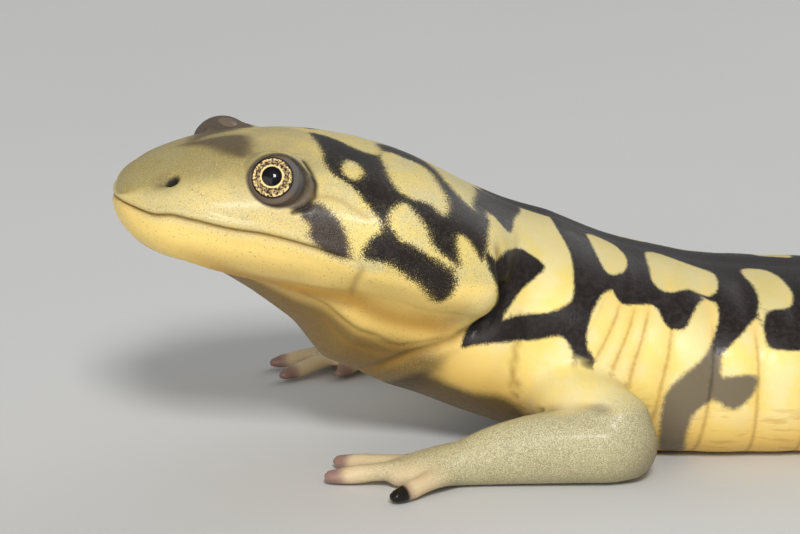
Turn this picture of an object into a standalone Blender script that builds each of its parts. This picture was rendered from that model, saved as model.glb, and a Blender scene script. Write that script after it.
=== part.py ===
"""A barred tiger salamander as a life-size still model, resting on a flat floor.

Lengths are in millimetres until a mesh is made. The head points to -X, the animal's left side
faces -Y, and the floor is Z = 0. The body is one loft along the spine, parted into head, jaw,
neck, trunk and tail lengths by thin gaps; legs and toes are lofts that end just clear of it.
"""

import math

import bmesh
import bpy
from mathutils import Vector

MM = 0.001  # metres in a millimetre
GAP = 0.32  # clearance between neighbouring pieces
WELD = 0.02  # points nearer than this become one
COLLECTION = "barred_tiger_salamander"

# The head's place: the tip of the snout at the mouth's level, and how the head is held.
SNOUT = Vector((-22.4, -9.9, 23.4))
HEAD_YAW = 21.0  # degrees, snout turned to the animal's left
HEAD_PITCH = 11.0  # degrees, snout up
STRAIGHT_HEAD = 21.0  # the stretch of spine that stays in line with the head

# Spine: distance from the snout, then x, y, z behind the straight stretch of the head.
SPINE = (
    (28.5, 4.0, 0.5, 16.0),
    (36.0, 9.6, 1.8, 12.4),
    (44.0, 16.6, 3.0, 9.2),
    (54.0, 26.3, 4.5, 7.3),
    (66.0, 38.2, 5.9, 6.8),
    (80.0, 52.2, 6.5, 6.8),
    (94.0, 66.1, 5.4, 6.8),
    (104.0, 75.9, 3.8, 6.5),
    (113.0, 84.6, 1.7, 5.8),
    (130.0, 101.2, -2.0, 5.3),
    (150.0, 121.0, -3.0, 4.7),
    (170.0, 140.6, 0.6, 3.9),
    (188.0, 157.0, 7.8, 2.8),
    (204.0, 170.4, 16.4, 1.3),
)
# Section lines along the spine: distance from the snout and size there.
TOP = (
    (0, 2.7), (3, 3.8), (6, 4.9), (10.3, 5.9), (16, 6.5), (22, 6.2), (28.5, 5.7), (36, 7.0),
    (44, 7.2), (54, 6.9), (66, 6.7), (80, 6.8), (94, 6.5), (104, 6.0), (113, 5.2), (130, 5.2),
    (150, 4.8), (170, 4.1), (188, 3.0), (204, 1.6),
)
BOTTOM = (
    (0, 2.9), (3, 3.9), (8, 4.7), (12, 6.2), (16, 8.4), (21, 11.6), (28.5, 12.0), (36, 10.8),
    (44, 9.5), (54, 7.9), (66, 7.5), (94, 7.4), (104, 6.9), (113, 6.1), (130, 5.5), (150, 4.9),
    (170, 4.1), (188, 3.0), (204, 1.4),
)
WIDE = (
    (0, 5.4), (3.4, 6.9), (6, 8.1), (10.3, 9.5), (15, 10.9), (20, 12.2), (24, 12.5),
    (27.5, 12.0), (29.4, 11.0), (30.8, 9.7), (33, 9.5), (37, 10.0), (44, 10.8), (54, 11.8),
    (66, 12.4), (80, 12.2), (94, 10.6), (104, 8.8), (113, 6.2), (130, 4.6), (150, 3.9),
    (170, 3.1), (188, 2.2), (204, 1.1),
)
TOP_ROUND = ((0, 2.1), (10, 2.3), (22, 2.2), (36, 2.0), (80, 2.0), (113, 1.8), (204, 1.7))
BOTTOM_ROUND = (
    (0, 2.1), (8, 2.0), (14, 1.65), (22, 1.6), (30, 1.8), (40, 2.3), (54, 3.3), (94, 3.2),
    (113, 2.3), (204, 2.0),
)
LENGTH = SPINE[-1][0]
SNOUT_RADIUS = 4.6
TAIL_TIP_RADIUS = 5.0
BODY_SIDES = 24  # points round each section

# The lengths of the body, each with the stations where it starts and ends.
LENGTHS = (
    ("head", 0.0, 30.4),
    ("neck", 30.4, 39.0),
    ("trunk_front", 39.0, 68.0),
    ("trunk_rear", 68.0, 113.0),
    ("tail_base", 113.0, 144.0),
    ("tail_middle", 144.0, 175.0),
    ("tail_tip", 175.0, LENGTH),
)
JAW_LENGTH = 18.0  # the lower jaw, from the tip of the snout

EYE_RADIUS = 2.5
EYE_BACK, EYE_OUT, EYE_UP = 10.7, 6.4, 3.4  # eye centre from the snout, the midline, the mouth

# Legs: each joint's place, its half width and its half height.
LEGS = {
    "fore_left": {
        "upper": (
            (10.4, -1.0, 8.2, 3.4, 3.4),
            (13.5, -7.2, 6.4, 3.1, 3.2),
            (17.2, -10.0, 4.4, 2.8, 2.9),
        ),
        "lower": (
            (18.0, -10.5, 3.1, 2.5, 2.6),
            (16.4, -10.6, 3.1, 3.0, 3.1),
            (11.5, -10.9, 2.8, 2.6, 2.8),
            (7.6, -11.2, 2.0, 2.0, 2.1),
            (5.9, -11.3, 1.6, 1.9, 1.6),
        ),
        "foot": ((5.9, -11.3), 182.5, -1),
    },
    "fore_right": {
        "upper": (
            (12.0, 5.5, 8.8, 3.2, 3.2),
            (12.4, 12.6, 7.4, 2.9, 3.0),
            (11.6, 19.4, 4.4, 2.5, 2.6),
        ),
        "lower": (
            (12.4, 20.4, 3.3, 2.1, 2.2),
            (10.8, 20.9, 3.1, 2.6, 2.7),
            (6.0, 21.4, 2.7, 2.4, 2.5),
            (1.8, 21.6, 2.0, 1.9, 2.0),
            (0.2, 21.6, 1.6, 1.8, 1.5),
        ),
        "foot": ((0.2, 21.6), 183.0, 1),
    },
    "hind_left": {
        "upper": (
            (76.6, -1.0, 6.6, 3.4, 3.4),
            (74.0, -9.0, 6.2, 3.1, 3.2),
            (70.8, -16.8, 4.9, 2.7, 2.8),
        ),
        "lower": (
            (70.2, -17.4, 4.3, 2.2, 2.3),
            (71.2, -18.2, 3.9, 2.7, 2.9),
            (75.0, -21.2, 2.9, 2.4, 2.5),
            (77.6, -23.4, 2.1, 2.0, 2.0),
            (78.6, -24.3, 1.7, 1.9, 1.6),
        ),
        "foot": ((78.6, -24.3), 208.0, -1),
    },
    "hind_right": {
        "upper": (
            (77.4, 8.0, 6.6, 3.4, 3.4),
            (76.6, 15.4, 6.2, 3.1, 3.2),
            (74.4, 23.0, 4.9, 2.7, 2.8),
        ),
        "lower": (
            (74.0, 23.8, 4.3, 2.2, 2.3),
            (75.2, 24.4, 3.9, 2.7, 2.9),
            (79.4, 26.8, 2.9, 2.4, 2.5),
            (82.4, 28.6, 2.1, 2.0, 2.0),
            (83.4, 29.4, 1.7, 1.9, 1.6),
        ),
        "foot": ((83.4, 29.4), 150.0, 1),
    },
}
LEG_SIDES = 11
RINGS_PER_JOINT = 2
# Palm: distance from the ankle, half width, and half height, which is also its axis's height.
PALM = ((0.9, 1.8, 1.45), (2.6, 2.35, 1.2), (4.4, 2.3, 0.95), (6.4, 1.7, 0.72))
# Each toe: start along and outward from the ankle, splay outward in degrees, length.
TOES = {
    "fore": (
        (3.3, -1.7, -44.0, 3.4),
        (5.6, -1.1, -34.0, 6.0),
        (5.9, 0.3, -9.0, 5.6),
        (2.7, 1.9, 36.0, 4.6),
    ),
    "hind": (
        (2.9, -1.9, -44.0, 3.4),
        (5.2, -1.3, -26.0, 5.4),
        (5.9, -0.2, -7.0, 6.2),
        (5.4, 1.1, 14.0, 6.2),
        (3.4, 2.0, 42.0, 4.6),
    ),
}
TOE_RADII = (0.95, 0.80, 0.60)
TOE_SIDES = 6
TOE_HEIGHT = 0.66  # of a toe's axis over the floor
SUNK = 0.9  # a thin toe's axis stands at this share of its radius, so that it keeps a flat

# How finely the body is sampled: up to each station, the step from ring to ring.
HEAD_STEP, TRUNK_STEP, FINE_UNTIL = 2.0, 5.4, 44.0
DOME_TURN = 84.0  # degrees of the quarter circle that a rounded end covers

# What each piece is made of, by the start of its name: colour and roughness.
FINISHES = {
    "eye": ((0.45, 0.30, 0.10), 0.08),
    "head": ((0.42, 0.36, 0.16), 0.35),
    "lower_jaw": ((0.72, 0.46, 0.16), 0.35),
    "neck": ((0.60, 0.50, 0.22), 0.35),
    "trunk": ((0.68, 0.54, 0.22), 0.35),
    "tail": ((0.30, 0.25, 0.13), 0.38),
    "fore": ((0.48, 0.44, 0.24), 0.32),
    "hind": ((0.48, 0.44, 0.24), 0.32),
}
TOE_FINISH = ((0.46, 0.36, 0.28), 0.28)


def profile(knots, at):
    """Smooth curve through (station, value) knots that never overshoots them."""
    if at <= knots[0][0]:
        return knots[0][1]
    if at >= knots[-1][0]:
        return knots[-1][1]
    i = max(k for k in range(len(knots) - 1) if knots[k][0] <= at)

    def rise(k):
        return (knots[k + 1][1] - knots[k][1]) / (knots[k + 1][0] - knots[k][0])

    def slope(k):
        if k in (0, len(knots) - 1):
            return rise(min(k, len(knots) - 2))
        before, after = rise(k - 1), rise(k)
        return 0.0 if before * after <= 0 else 2 * before * after / (before + after)

    width = knots[i + 1][0] - knots[i][0]
    t = (at - knots[i][0]) / width
    start, end = knots[i][1], knots[i + 1][1]
    return (
        start * (1 + 2 * t) * (1 - t) ** 2 + end * t * t * (3 - 2 * t)
        + width * (slope(i) * t * (1 - t) ** 2 + slope(i + 1) * t * t * (t - 1))
    )


def head_axes():
    """Unit vectors of the head: backward, to its left, and up."""
    turn, lift = math.radians(HEAD_YAW), math.radians(HEAD_PITCH)
    ahead = Vector((-math.cos(turn) * math.cos(lift), -math.sin(turn) * math.cos(lift), math.sin(lift)))
    left = Vector((math.sin(turn), -math.cos(turn), 0.0))
    return -ahead, left, left.cross(-ahead)


HEAD_BACK, HEAD_LEFT, HEAD_UP = head_axes()
HEAD_KNOTS = tuple((s, *(SNOUT + HEAD_BACK * s)) for s in (0.0, 7.0, 14.0, STRAIGHT_HEAD))
SPINE_KNOTS = HEAD_KNOTS + SPINE


def in_head(back, left, up):
    """Point of the head, measured from the tip of the snout."""
    return SNOUT + HEAD_BACK * back + HEAD_LEFT * left + HEAD_UP * up


def spine_point(station):
    return Vector([profile([(k[0], k[1 + axis]) for k in SPINE_KNOTS], station) for axis in range(3)])


def spine_axes(station):
    """Unit vectors backward, left and up of the spine at a station."""
    reach = 1.5
    back = (spine_point(station + reach) - spine_point(station - reach)).normalized()
    left = Vector((back.y, -back.x, 0)).normalized()
    return back, left, left.cross(back)


def round_tips(station):
    """Share of the section's size near the blunt snout and the tail's tip."""
    from_snout = min(1.0, station / SNOUT_RADIUS)
    from_tail = min(1.0, (LENGTH - station) / TAIL_TIP_RADIUS)
    return math.sqrt((1 - (1 - from_snout) ** 2) * (1 - (1 - from_tail) ** 2))


def body_point(station, angle, grow=0.0):
    """Surface of the body: angle runs from the back's midline over the animal's left side."""
    _, left, up = spine_axes(station)
    share = round_tips(station)
    c, s = math.cos(angle), math.sin(angle)
    power = profile(TOP_ROUND if c > 0 else BOTTOM_ROUND, station)
    height = profile(TOP if c > 0 else BOTTOM, station) * share + grow
    width = profile(WIDE, station) * share + grow
    rise = math.copysign(abs(c) ** (2 / power), c) * height
    out = math.copysign(abs(s) ** (2 / power), s) * width
    return spine_point(station) + left * out + up * rise


def body_rings(start, end, grow=0.0):
    """Rings of points from one station to another, closer together at the tips and the head."""
    first_step, shortest_step, tip = 0.25, 0.4, 0.03
    stations = [max(start, tip)]
    at = start
    while at < end - shortest_step:
        step = HEAD_STEP if at < FINE_UNTIL else TRUNK_STEP
        from_tips = min(at + first_step, LENGTH - at)
        at += min(step, max(shortest_step, shortest_step * from_tips))
        if at < end - shortest_step:
            stations.append(at)
    stations.append(min(end, LENGTH - tip))
    angles = [2 * math.pi * k / BODY_SIDES for k in range(BODY_SIDES)]
    return [[body_point(s, a, grow) for a in angles] for s in stations]


def tube_rings(joints, sides, grow=0.0, domes=(0, 0)):
    """Rings along a leg or a toe: each joint is x, y, z, half width, half height.
    domes is how many shrinking rings round off the start and the end."""
    columns = [[(k, joint[axis]) for k, joint in enumerate(joints)] for axis in range(5)]
    steps = RINGS_PER_JOINT * (len(joints) - 1)
    near = 0.1
    rings = []
    for n in range(steps + 1):
        at = n / RINGS_PER_JOINT
        here, before, after = (
            Vector([profile(column, place) for column in columns[:3]])
            for place in (at, at - near, at + near)
        )
        ahead = (after - before).normalized()
        side = ahead.cross(Vector((0, 0, 1))).normalized()
        up = side.cross(ahead)
        wide, high = (profile(column, at) + grow for column in columns[3:])
        turns = [2 * math.pi * (k + 0.5) / sides for k in range(sides)]
        rings.append([here + side * (wide * math.sin(t)) + up * (high * math.cos(t)) for t in turns])
    return dome(rings[0], rings[1], domes[0])[::-1] + rings + dome(rings[-1], rings[-2], domes[1])


def dome(ring, inner, count):
    """Shrunken rings past the end of a tube."""
    centre = sum(ring, Vector()) / len(ring)
    ahead = (centre - sum(inner, Vector()) / len(inner)).normalized()
    size = sum((p - centre).length for p in ring) / len(ring)
    caps = []
    for k in range(count):
        turn = math.radians(DOME_TURN * (k + 1) / count)
        tip = centre + ahead * (math.sin(turn) * size)
        caps.append([tip + (p - centre) * math.cos(turn) for p in ring])
    return caps


def loft(name, rings, collection, floor=False):
    """Closed mesh object through rings of equal count. With floor, it ends in a flat at Z = 0."""
    mesh = bmesh.new()
    loops = [[mesh.verts.new(p * MM) for p in ring] for ring in rings]
    count = len(rings[0])
    for one, two in zip(loops, loops[1:]):
        for k in range(count):
            mesh.faces.new((one[k], one[(k + 1) % count], two[(k + 1) % count], two[k]))
    mesh.faces.new(loops[0][::-1])
    mesh.faces.new(loops[-1])
    if floor:
        stand_on_floor(mesh)
    return finish(name, mesh, collection)


def stand_on_floor(mesh):
    """Cuts off what is under the floor and closes the cut with a flat."""
    everything = mesh.verts[:] + mesh.edges[:] + mesh.faces[:]
    bmesh.ops.bisect_plane(
        mesh, geom=everything, dist=1e-7, plane_co=(0, 0, 0), plane_no=(0, 0, 1), clear_inner=True
    )
    rim = [edge for edge in mesh.edges if edge.is_boundary]
    if rim:
        bmesh.ops.holes_fill(mesh, edges=rim, sides=0)


def finish(name, mesh, collection):
    bmesh.ops.remove_doubles(mesh, verts=mesh.verts, dist=WELD * MM)
    bmesh.ops.recalc_face_normals(mesh, faces=mesh.faces)
    if mesh.calc_volume(signed=True) < 0:
        bmesh.ops.reverse_faces(mesh, faces=mesh.faces)
    data = bpy.data.meshes.new(name)
    mesh.to_mesh(data)
    mesh.free()
    data.shade_smooth()
    made = bpy.data.objects.new(name, data)
    collection.objects.link(made)
    return made


def ball(name, centre, radius, collection):
    mesh = bmesh.new()
    bmesh.ops.create_uvsphere(mesh, u_segments=16, v_segments=10, radius=radius * MM)
    made = finish(name, mesh, collection)
    made.location = centre * MM
    return made


def jaw_block(name, back, high, collection):
    """Box round the lower jaw: from ahead of the snout to a distance back, up to a height."""
    ahead, low, wide = -4.0, -30.0, 40.0
    mesh = bmesh.new()
    bmesh.ops.create_cube(mesh, size=1.0)
    for corner in mesh.verts:
        along = back if corner.co.x > 0 else ahead
        rise = high if corner.co.z > 0 else low
        corner.co = in_head(along, wide * corner.co.y, rise) * MM
    return finish(name, mesh, collection)


def carve(piece, cutters, operation="DIFFERENCE"):
    for cutter in cutters:
        cut = piece.modifiers.new("carve", "BOOLEAN")
        cut.operation = operation
        cut.solver = "EXACT"
        cut.object = cutter


def paint(piece):
    """Gives a piece its own material."""
    start = next(start for start in FINISHES if piece.name.startswith(start))
    colour, roughness = TOE_FINISH if "_toe_" in piece.name else FINISHES[start]
    made = bpy.data.materials.new(f"{piece.name}_finish")
    made.use_nodes = True
    shader = made.node_tree.nodes["Principled BSDF"]
    shader.inputs["Base Color"].default_value = (*colour, 1.0)
    shader.inputs["Roughness"].default_value = roughness
    shader.inputs["Metallic"].default_value = 0.0
    piece.data.materials.append(made)


def collection_named(name, hidden=False):
    made = bpy.data.collections.new(name)
    made.hide_render = hidden
    bpy.context.scene.collection.children.link(made)
    return made


def foot_rings(kind, foot, grow=0.0):
    """The palm of a foot and each of its toes, as rings."""
    (x, y), heading, hand = foot
    turn = math.radians(heading)
    ahead = Vector((math.cos(turn), math.sin(turn), 0))
    outward = Vector((0, 0, 1)).cross(ahead)
    if outward.y * hand < 0:
        outward = -outward
    ankle = Vector((x, y, 0))

    def spot(along, out, height, wide, high):
        place = ankle + ahead * along + outward * out
        return (place.x, place.y, height, wide, high)

    palm = [spot(along, 0.0, high, wide, high) for along, wide, high in PALM]
    toes = []
    for along, out, splay, length in TOES[kind]:
        lean = math.radians(splay)
        knots = []
        for k, radius in enumerate(TOE_RADII):
            reach = length * k / (len(TOE_RADII) - 1)
            height = min(TOE_HEIGHT, radius * SUNK)
            place = (along + reach * math.cos(lean), out + reach * math.sin(lean))
            knots.append(spot(*place, height, radius, radius))
        toes.append(tube_rings(knots, TOE_SIDES, grow, domes=(0, 2)))
    return tube_rings(palm, LEG_SIDES, grow, domes=(1, 2)), toes


def build_body(parts, cutters):
    """Head, jaw, neck, trunk and tail lengths."""
    made = {}
    for name, start, end in LENGTHS:
        first = start + GAP / 2 if start else start
        last = end - GAP / 2 if end < LENGTH else end
        made[name] = loft(name, body_rings(first, last), parts, floor=True)
    jaw = loft("lower_jaw", body_rings(0.0, LENGTHS[0][2] - GAP / 2), parts)
    carve(jaw, [jaw_block("jaw_space", JAW_LENGTH - GAP, -GAP / 2, cutters)], "INTERSECT")
    carve(made["head"], [jaw_block("jaw_cut", JAW_LENGTH, GAP / 2, cutters)])
    for side, out in (("left", 1), ("right", -1)):
        centre = in_head(EYE_BACK, EYE_OUT * out, EYE_UP)
        carve(made["head"], [ball(f"socket_{side}", centre, EYE_RADIUS + GAP, cutters)])
        ball(f"eye_{side}", centre, EYE_RADIUS, parts)


def build_leg(name, leg, parts, cutters, body_space):
    """One leg: upper length, lower length, palm and toes, each ending clear of what it grows from."""
    kind = name.split("_")[0]
    rounded = (3, 1)
    lower = loft(f"{name}_lower", tube_rings(leg["lower"], LEG_SIDES, 0.0, rounded), parts, floor=True)
    lower_space = loft(f"{name}_lower_space", tube_rings(leg["lower"], LEG_SIDES, GAP, rounded), cutters)
    upper = loft(f"{name}_upper", tube_rings(leg["upper"], LEG_SIDES), parts, floor=True)
    palm_rings, toe_rings = foot_rings(kind, leg["foot"])
    palm_space_rings, toe_space_rings = foot_rings(kind, leg["foot"], GAP)
    palm = loft(f"{name}_palm", palm_rings, parts, floor=True)
    palm_space = loft(f"{name}_palm_space", palm_space_rings, cutters)
    carve(lower, [body_space])
    carve(upper, [body_space, lower_space])
    carve(palm, [lower_space, body_space])
    spaces = [palm_space, lower_space]
    for number, rings in enumerate(toe_rings, 1):
        toe = loft(f"{name}_toe_{number}", rings, parts, floor=True)
        carve(toe, spaces)
        spaces.append(loft(f"{name}_toe_space_{number}", toe_space_rings[number - 1], cutters))


def stand_on_origin(parts):
    """Moves every piece so that the model's box stands on the origin."""
    bpy.context.view_layer.update()
    graph = bpy.context.evaluated_depsgraph_get()
    corners = [
        shown.matrix_world @ Vector(corner)
        for shown in (piece.evaluated_get(graph) for piece in parts.objects)
        for corner in shown.bound_box
    ]
    lows = [min(c[k] for c in corners) for k in range(3)]
    highs = [max(c[k] for c in corners) for k in range(3)]
    shift = Vector((-(lows[0] + highs[0]) / 2, -(lows[1] + highs[1]) / 2, -lows[2]))
    for thing in bpy.data.objects:
        thing.location = thing.location + shift


def main():
    for thing in list(bpy.data.objects):
        bpy.data.objects.remove(thing)
    parts = collection_named(COLLECTION)
    cutters = collection_named("cutters", hidden=True)
    build_body(parts, cutters)
    body_space = loft("body_space", body_rings(0.0, LENGTH, GAP), cutters)
    for name, leg in LEGS.items():
        build_leg(name, leg, parts, cutters, body_space)
    for piece in parts.objects:
        paint(piece)
    for cutter in cutters.objects:
        cutter.hide_render = True
        cutter.display_type = "WIRE"
    stand_on_origin(parts)


main()
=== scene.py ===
"""A barred tiger salamander at rest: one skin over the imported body, with glossy eyes set in it.

Lengths in the making are millimetres, with the head at -X, the animal's left side at -Y and the
floor at Z = 0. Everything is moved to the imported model's place, in metres, when it is finished.
"""

import math
import random

import bmesh
import bpy
import numpy as np
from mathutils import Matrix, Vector
from mathutils.kdtree import KDTree


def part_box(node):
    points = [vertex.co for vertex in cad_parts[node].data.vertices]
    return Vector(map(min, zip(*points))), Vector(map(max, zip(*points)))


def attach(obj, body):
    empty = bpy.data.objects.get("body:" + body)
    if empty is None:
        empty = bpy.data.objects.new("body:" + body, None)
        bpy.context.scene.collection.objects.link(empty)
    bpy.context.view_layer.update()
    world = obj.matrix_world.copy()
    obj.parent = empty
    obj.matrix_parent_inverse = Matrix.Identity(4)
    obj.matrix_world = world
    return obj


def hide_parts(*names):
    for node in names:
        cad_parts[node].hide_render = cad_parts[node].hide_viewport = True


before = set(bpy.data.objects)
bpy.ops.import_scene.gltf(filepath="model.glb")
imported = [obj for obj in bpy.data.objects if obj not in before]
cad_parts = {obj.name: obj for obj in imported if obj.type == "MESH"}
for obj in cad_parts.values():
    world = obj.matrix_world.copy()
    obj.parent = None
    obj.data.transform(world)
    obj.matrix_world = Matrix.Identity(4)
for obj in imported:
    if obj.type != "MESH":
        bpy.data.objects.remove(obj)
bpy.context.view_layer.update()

MM = 0.001  # metres in a millimetre
dice = random.Random(11)  # for the markings that nothing fixes

# ---------------------------------------------------------------- sizes of the body

SNOUT = np.array((-22.4, -9.9, 23.4))  # the tip of the snout at the mouth's level
HEAD_YAW, HEAD_PITCH = 21.0, 11.0  # degrees: snout to the animal's left, and up
STRAIGHT_HEAD = 21.0  # the stretch of spine in line with the head

# Spine: distance from the snout, then x, y, z behind the straight stretch of the head.
SPINE = (
    (28.5, 4.0, 0.5, 16.0),
    (36.0, 9.6, 1.8, 12.4),
    (44.0, 16.6, 3.0, 9.2),
    (54.0, 26.3, 4.5, 7.3),
    (66.0, 38.2, 5.9, 6.8),
    (80.0, 52.2, 6.5, 6.8),
    (94.0, 66.1, 5.4, 6.8),
    (104.0, 75.9, 3.8, 6.5),
    (113.0, 84.6, 1.7, 5.8),
    (130.0, 101.2, -2.0, 5.3),
    (150.0, 121.0, -3.0, 4.7),
    (170.0, 140.6, 0.6, 3.9),
    (188.0, 157.0, 7.8, 2.8),
    (204.0, 170.4, 16.4, 1.3),
)
LENGTH = SPINE[-1][0]
# Section lines along the spine: distance from the snout and size there.
TOP = (
    (0, 2.1), (1.5, 2.55), (3, 3.15), (6, 4.55), (8, 5.3), (10.3, 5.85), (16, 6.5), (22, 6.2),
    (28.5, 5.7), (36, 7.0), (44, 7.2), (54, 6.9), (66, 6.7), (80, 6.8), (94, 6.5), (104, 6.0),
    (113, 5.2), (130, 5.2), (150, 4.8), (170, 4.1), (188, 3.0), (204, 1.6),
)
BOTTOM = (
    (0, 2.9), (3, 3.9), (8, 4.7), (12, 6.2), (16, 8.4), (21, 11.6), (28.5, 12.0), (36, 10.8),
    (44, 9.5), (54, 7.9), (66, 7.5), (94, 7.4), (104, 6.9), (113, 6.1), (130, 5.5), (150, 4.9),
    (170, 4.1), (188, 3.0), (204, 1.4),
)
WIDE = (
    (0, 5.4), (3.4, 6.9), (6, 8.1), (10.3, 9.5), (15, 10.9), (20, 12.2), (24, 12.5),
    (27.5, 12.0), (29.4, 11.0), (30.8, 9.7), (33, 9.5), (37, 10.0), (44, 10.8), (54, 11.8),
    (66, 12.4), (80, 12.2), (94, 10.6), (104, 8.8), (113, 6.2), (130, 4.6), (150, 3.9),
    (170, 3.1), (188, 2.2), (204, 1.1),
)
TOP_ROUND = ((0, 2.1), (10, 2.3), (22, 2.2), (36, 2.0), (80, 2.0), (113, 1.8), (204, 1.7))
BOTTOM_ROUND = (
    (0, 2.1), (8, 2.0), (14, 1.9), (22, 1.8), (30, 1.9), (40, 2.3), (54, 3.3), (94, 3.2),
    (113, 2.3), (204, 2.0),
)
# Under the mouth, the jaw's own depth and the half width of the throat that hangs inside it.
JAW_DEPTH = ((0, 2.9), (3, 3.9), (8, 4.6), (12, 4.9), (16, 5.0), (20, 5.3), (24, 5.4), (28, 4.6), (36, 5.0))
THROAT_WIDE = (
    (0, 3.0), (8, 5.6), (12, 6.8), (16, 7.8), (21, 8.8), (25, 9.2), (28.5, 9.6), (31, 9.3), (36, 9.9),
)
JAW_ROUND = 2.3
THROAT_END = (33.0, 37.0)  # the stretch in which the throat runs out into the breast
SNOUT_RADIUS, TAIL_TIP_RADIUS = 4.6, 5.0

EYE_RADIUS = 2.5
EYE_BACK, EYE_OUT, EYE_UP = 10.7, 6.4, 3.4  # eye centre from the snout, the midline, the mouth


# ---------------------------------------------------------------- curves

def curve(knots, at):
    """Smooth curve through (place, value, ...) knots that never overshoots, read at many places."""
    table = np.array(knots, float)
    place, value = table[:, 0], table[:, 1:]
    rise = np.diff(value, axis=0) / np.diff(place)[:, None]
    before, after = rise[:-1], rise[1:]
    total = np.where(before * after > 0, before + after, 1.0)
    inner = np.where(before * after > 0, 2 * before * after / total, 0.0)
    slope = np.vstack([rise[:1], inner, rise[-1:]])
    at = np.clip(np.asarray(at, float), place[0], place[-1])
    k = np.clip(np.searchsorted(place, at, "right") - 1, 0, len(place) - 2)
    width = place[k + 1] - place[k]
    t = ((at - place[k]) / width)[..., None]
    width = width[..., None]
    found = (
        value[k] * (1 + 2 * t) * (1 - t) ** 2 + value[k + 1] * t * t * (3 - 2 * t)
        + width * (slope[k] * t * (1 - t) ** 2 + slope[k + 1] * t * t * (t - 1))
    )
    return found[..., 0] if value.shape[1] == 1 else found


def ease(low, high, at):
    """0 before low, 1 past high, and a smooth rise between."""
    t = np.clip((at - low) / (high - low), 0.0, 1.0)
    return t * t * (3 - 2 * t)


def hill(at, middle, spread):
    """1 at the middle, falling off smoothly over the spread on both sides."""
    return np.exp(-(((at - middle) / spread) ** 2))


def unit(rows):
    return rows / np.linalg.norm(rows, axis=-1, keepdims=True)


# ---------------------------------------------------------------- the body's surface

def head_axes():
    """Unit vectors of the head: backward, to its left, and up."""
    turn, lift = math.radians(HEAD_YAW), math.radians(HEAD_PITCH)
    ahead = np.array((-math.cos(turn) * math.cos(lift), -math.sin(turn) * math.cos(lift), math.sin(lift)))
    left = np.array((math.sin(turn), -math.cos(turn), 0.0))
    return -ahead, left, np.cross(left, -ahead)


HEAD_BACK, HEAD_LEFT, HEAD_UP = head_axes()
HEAD_KNOTS = tuple((s, *(SNOUT + HEAD_BACK * s)) for s in (0.0, 7.0, 14.0, STRAIGHT_HEAD))
SPINE_KNOTS = HEAD_KNOTS + SPINE


def in_head(back, left, up):
    """Point of the head, measured from the tip of the snout."""
    return SNOUT + HEAD_BACK * back + HEAD_LEFT * left + HEAD_UP * up


def spine_axes(station):
    """Unit vectors backward, left and up of the spine at each station."""
    reach = 1.5
    back = unit(curve(SPINE_KNOTS, station + reach) - curve(SPINE_KNOTS, station - reach))
    left = unit(np.stack([back[:, 1], -back[:, 0], np.zeros(len(back))], 1))
    return back, left, np.cross(left, back)


def tip_share(station):
    """Share of the section's size near the blunt snout and the tail's tip."""
    from_snout = np.clip(station / SNOUT_RADIUS, 0.0, 1.0)
    from_tail = np.clip((LENGTH - station) / TAIL_TIP_RADIUS, 0.0, 1.0)
    return np.sqrt((1 - (1 - from_snout) ** 2) * (1 - (1 - from_tail) ** 2))


def rounded(across, down, power):
    """Distance from the middle to a rounded oblong of half sizes 1, along (across, down)."""
    return (np.abs(across) ** power + np.abs(down) ** power) ** (-1 / power)


def surface(station, turn):
    """Points of the plain body: turn runs from the back's midline over the animal's left side."""
    _, left, up = spine_axes(station)
    share = tip_share(station)
    c, s = np.cos(turn), np.sin(turn)
    wide = curve(WIDE, station) * share
    top, bottom = curve(TOP, station) * share, curve(BOTTOM, station) * share
    high = np.where(c > 0, top, bottom)
    power = np.where(c > 0, curve(TOP_ROUND, station), curve(BOTTOM_ROUND, station))
    out, rise = s * wide, c * high
    reach = rounded(s, c, power)
    # Under the mouth the jaw and the throat are two rounds, joined by a soft hollow.
    jaw = rounded(s, c * bottom / (curve(JAW_DEPTH, station) * share), JAW_ROUND)
    throat = rounded(s * wide / (np.minimum(curve(THROAT_WIDE, station) * share, wide)), c, power)
    soft = 0.03
    joined = 0.5 * (jaw + throat + np.sqrt((jaw - throat) ** 2 + soft ** 2)) - 0.25 * soft
    under = ease(0.0, 0.35, -c) * (1 - ease(*THROAT_END, station))
    reach = reach + (joined - reach) * under
    return curve(SPINE_KNOTS, station) + left * (out * reach)[:, None] + up * (rise * reach)[:, None]


BODY_SIDES = 112  # points round the body before the head is made finer
HEAD_STEP, TRUNK_STEP, TAIL_STEP = 0.46, 0.60, 1.3  # distance between rings
FINE_HEAD = 31.5  # the stretch of the body with twice the detail
MOUTH_LENGTH = 17.0
FIRST_RING = 0.004  # from the snout's tip
TAIL_START = 108.0
FINE_EYES, FINE_LIPS, FINE_NOSTRILS = 4.0, 0.6, 1.1  # how far round them the skin is finer still
SAME_PLACE = 1e-4  # points closer than this are one


def ring_stations():
    """Where the rings of the skin lie along the body, closer together at its tips."""
    stations = [FIRST_RING]
    while stations[-1] < LENGTH - 0.05:
        at = stations[-1]
        step = HEAD_STEP if at < FINE_HEAD else TRUNK_STEP if at < TAIL_START else TAIL_STEP
        stations.append(at + min(step, 0.02 + 0.3 * min(at, LENGTH - at)))
    return np.array(stations[:-1])


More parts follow.
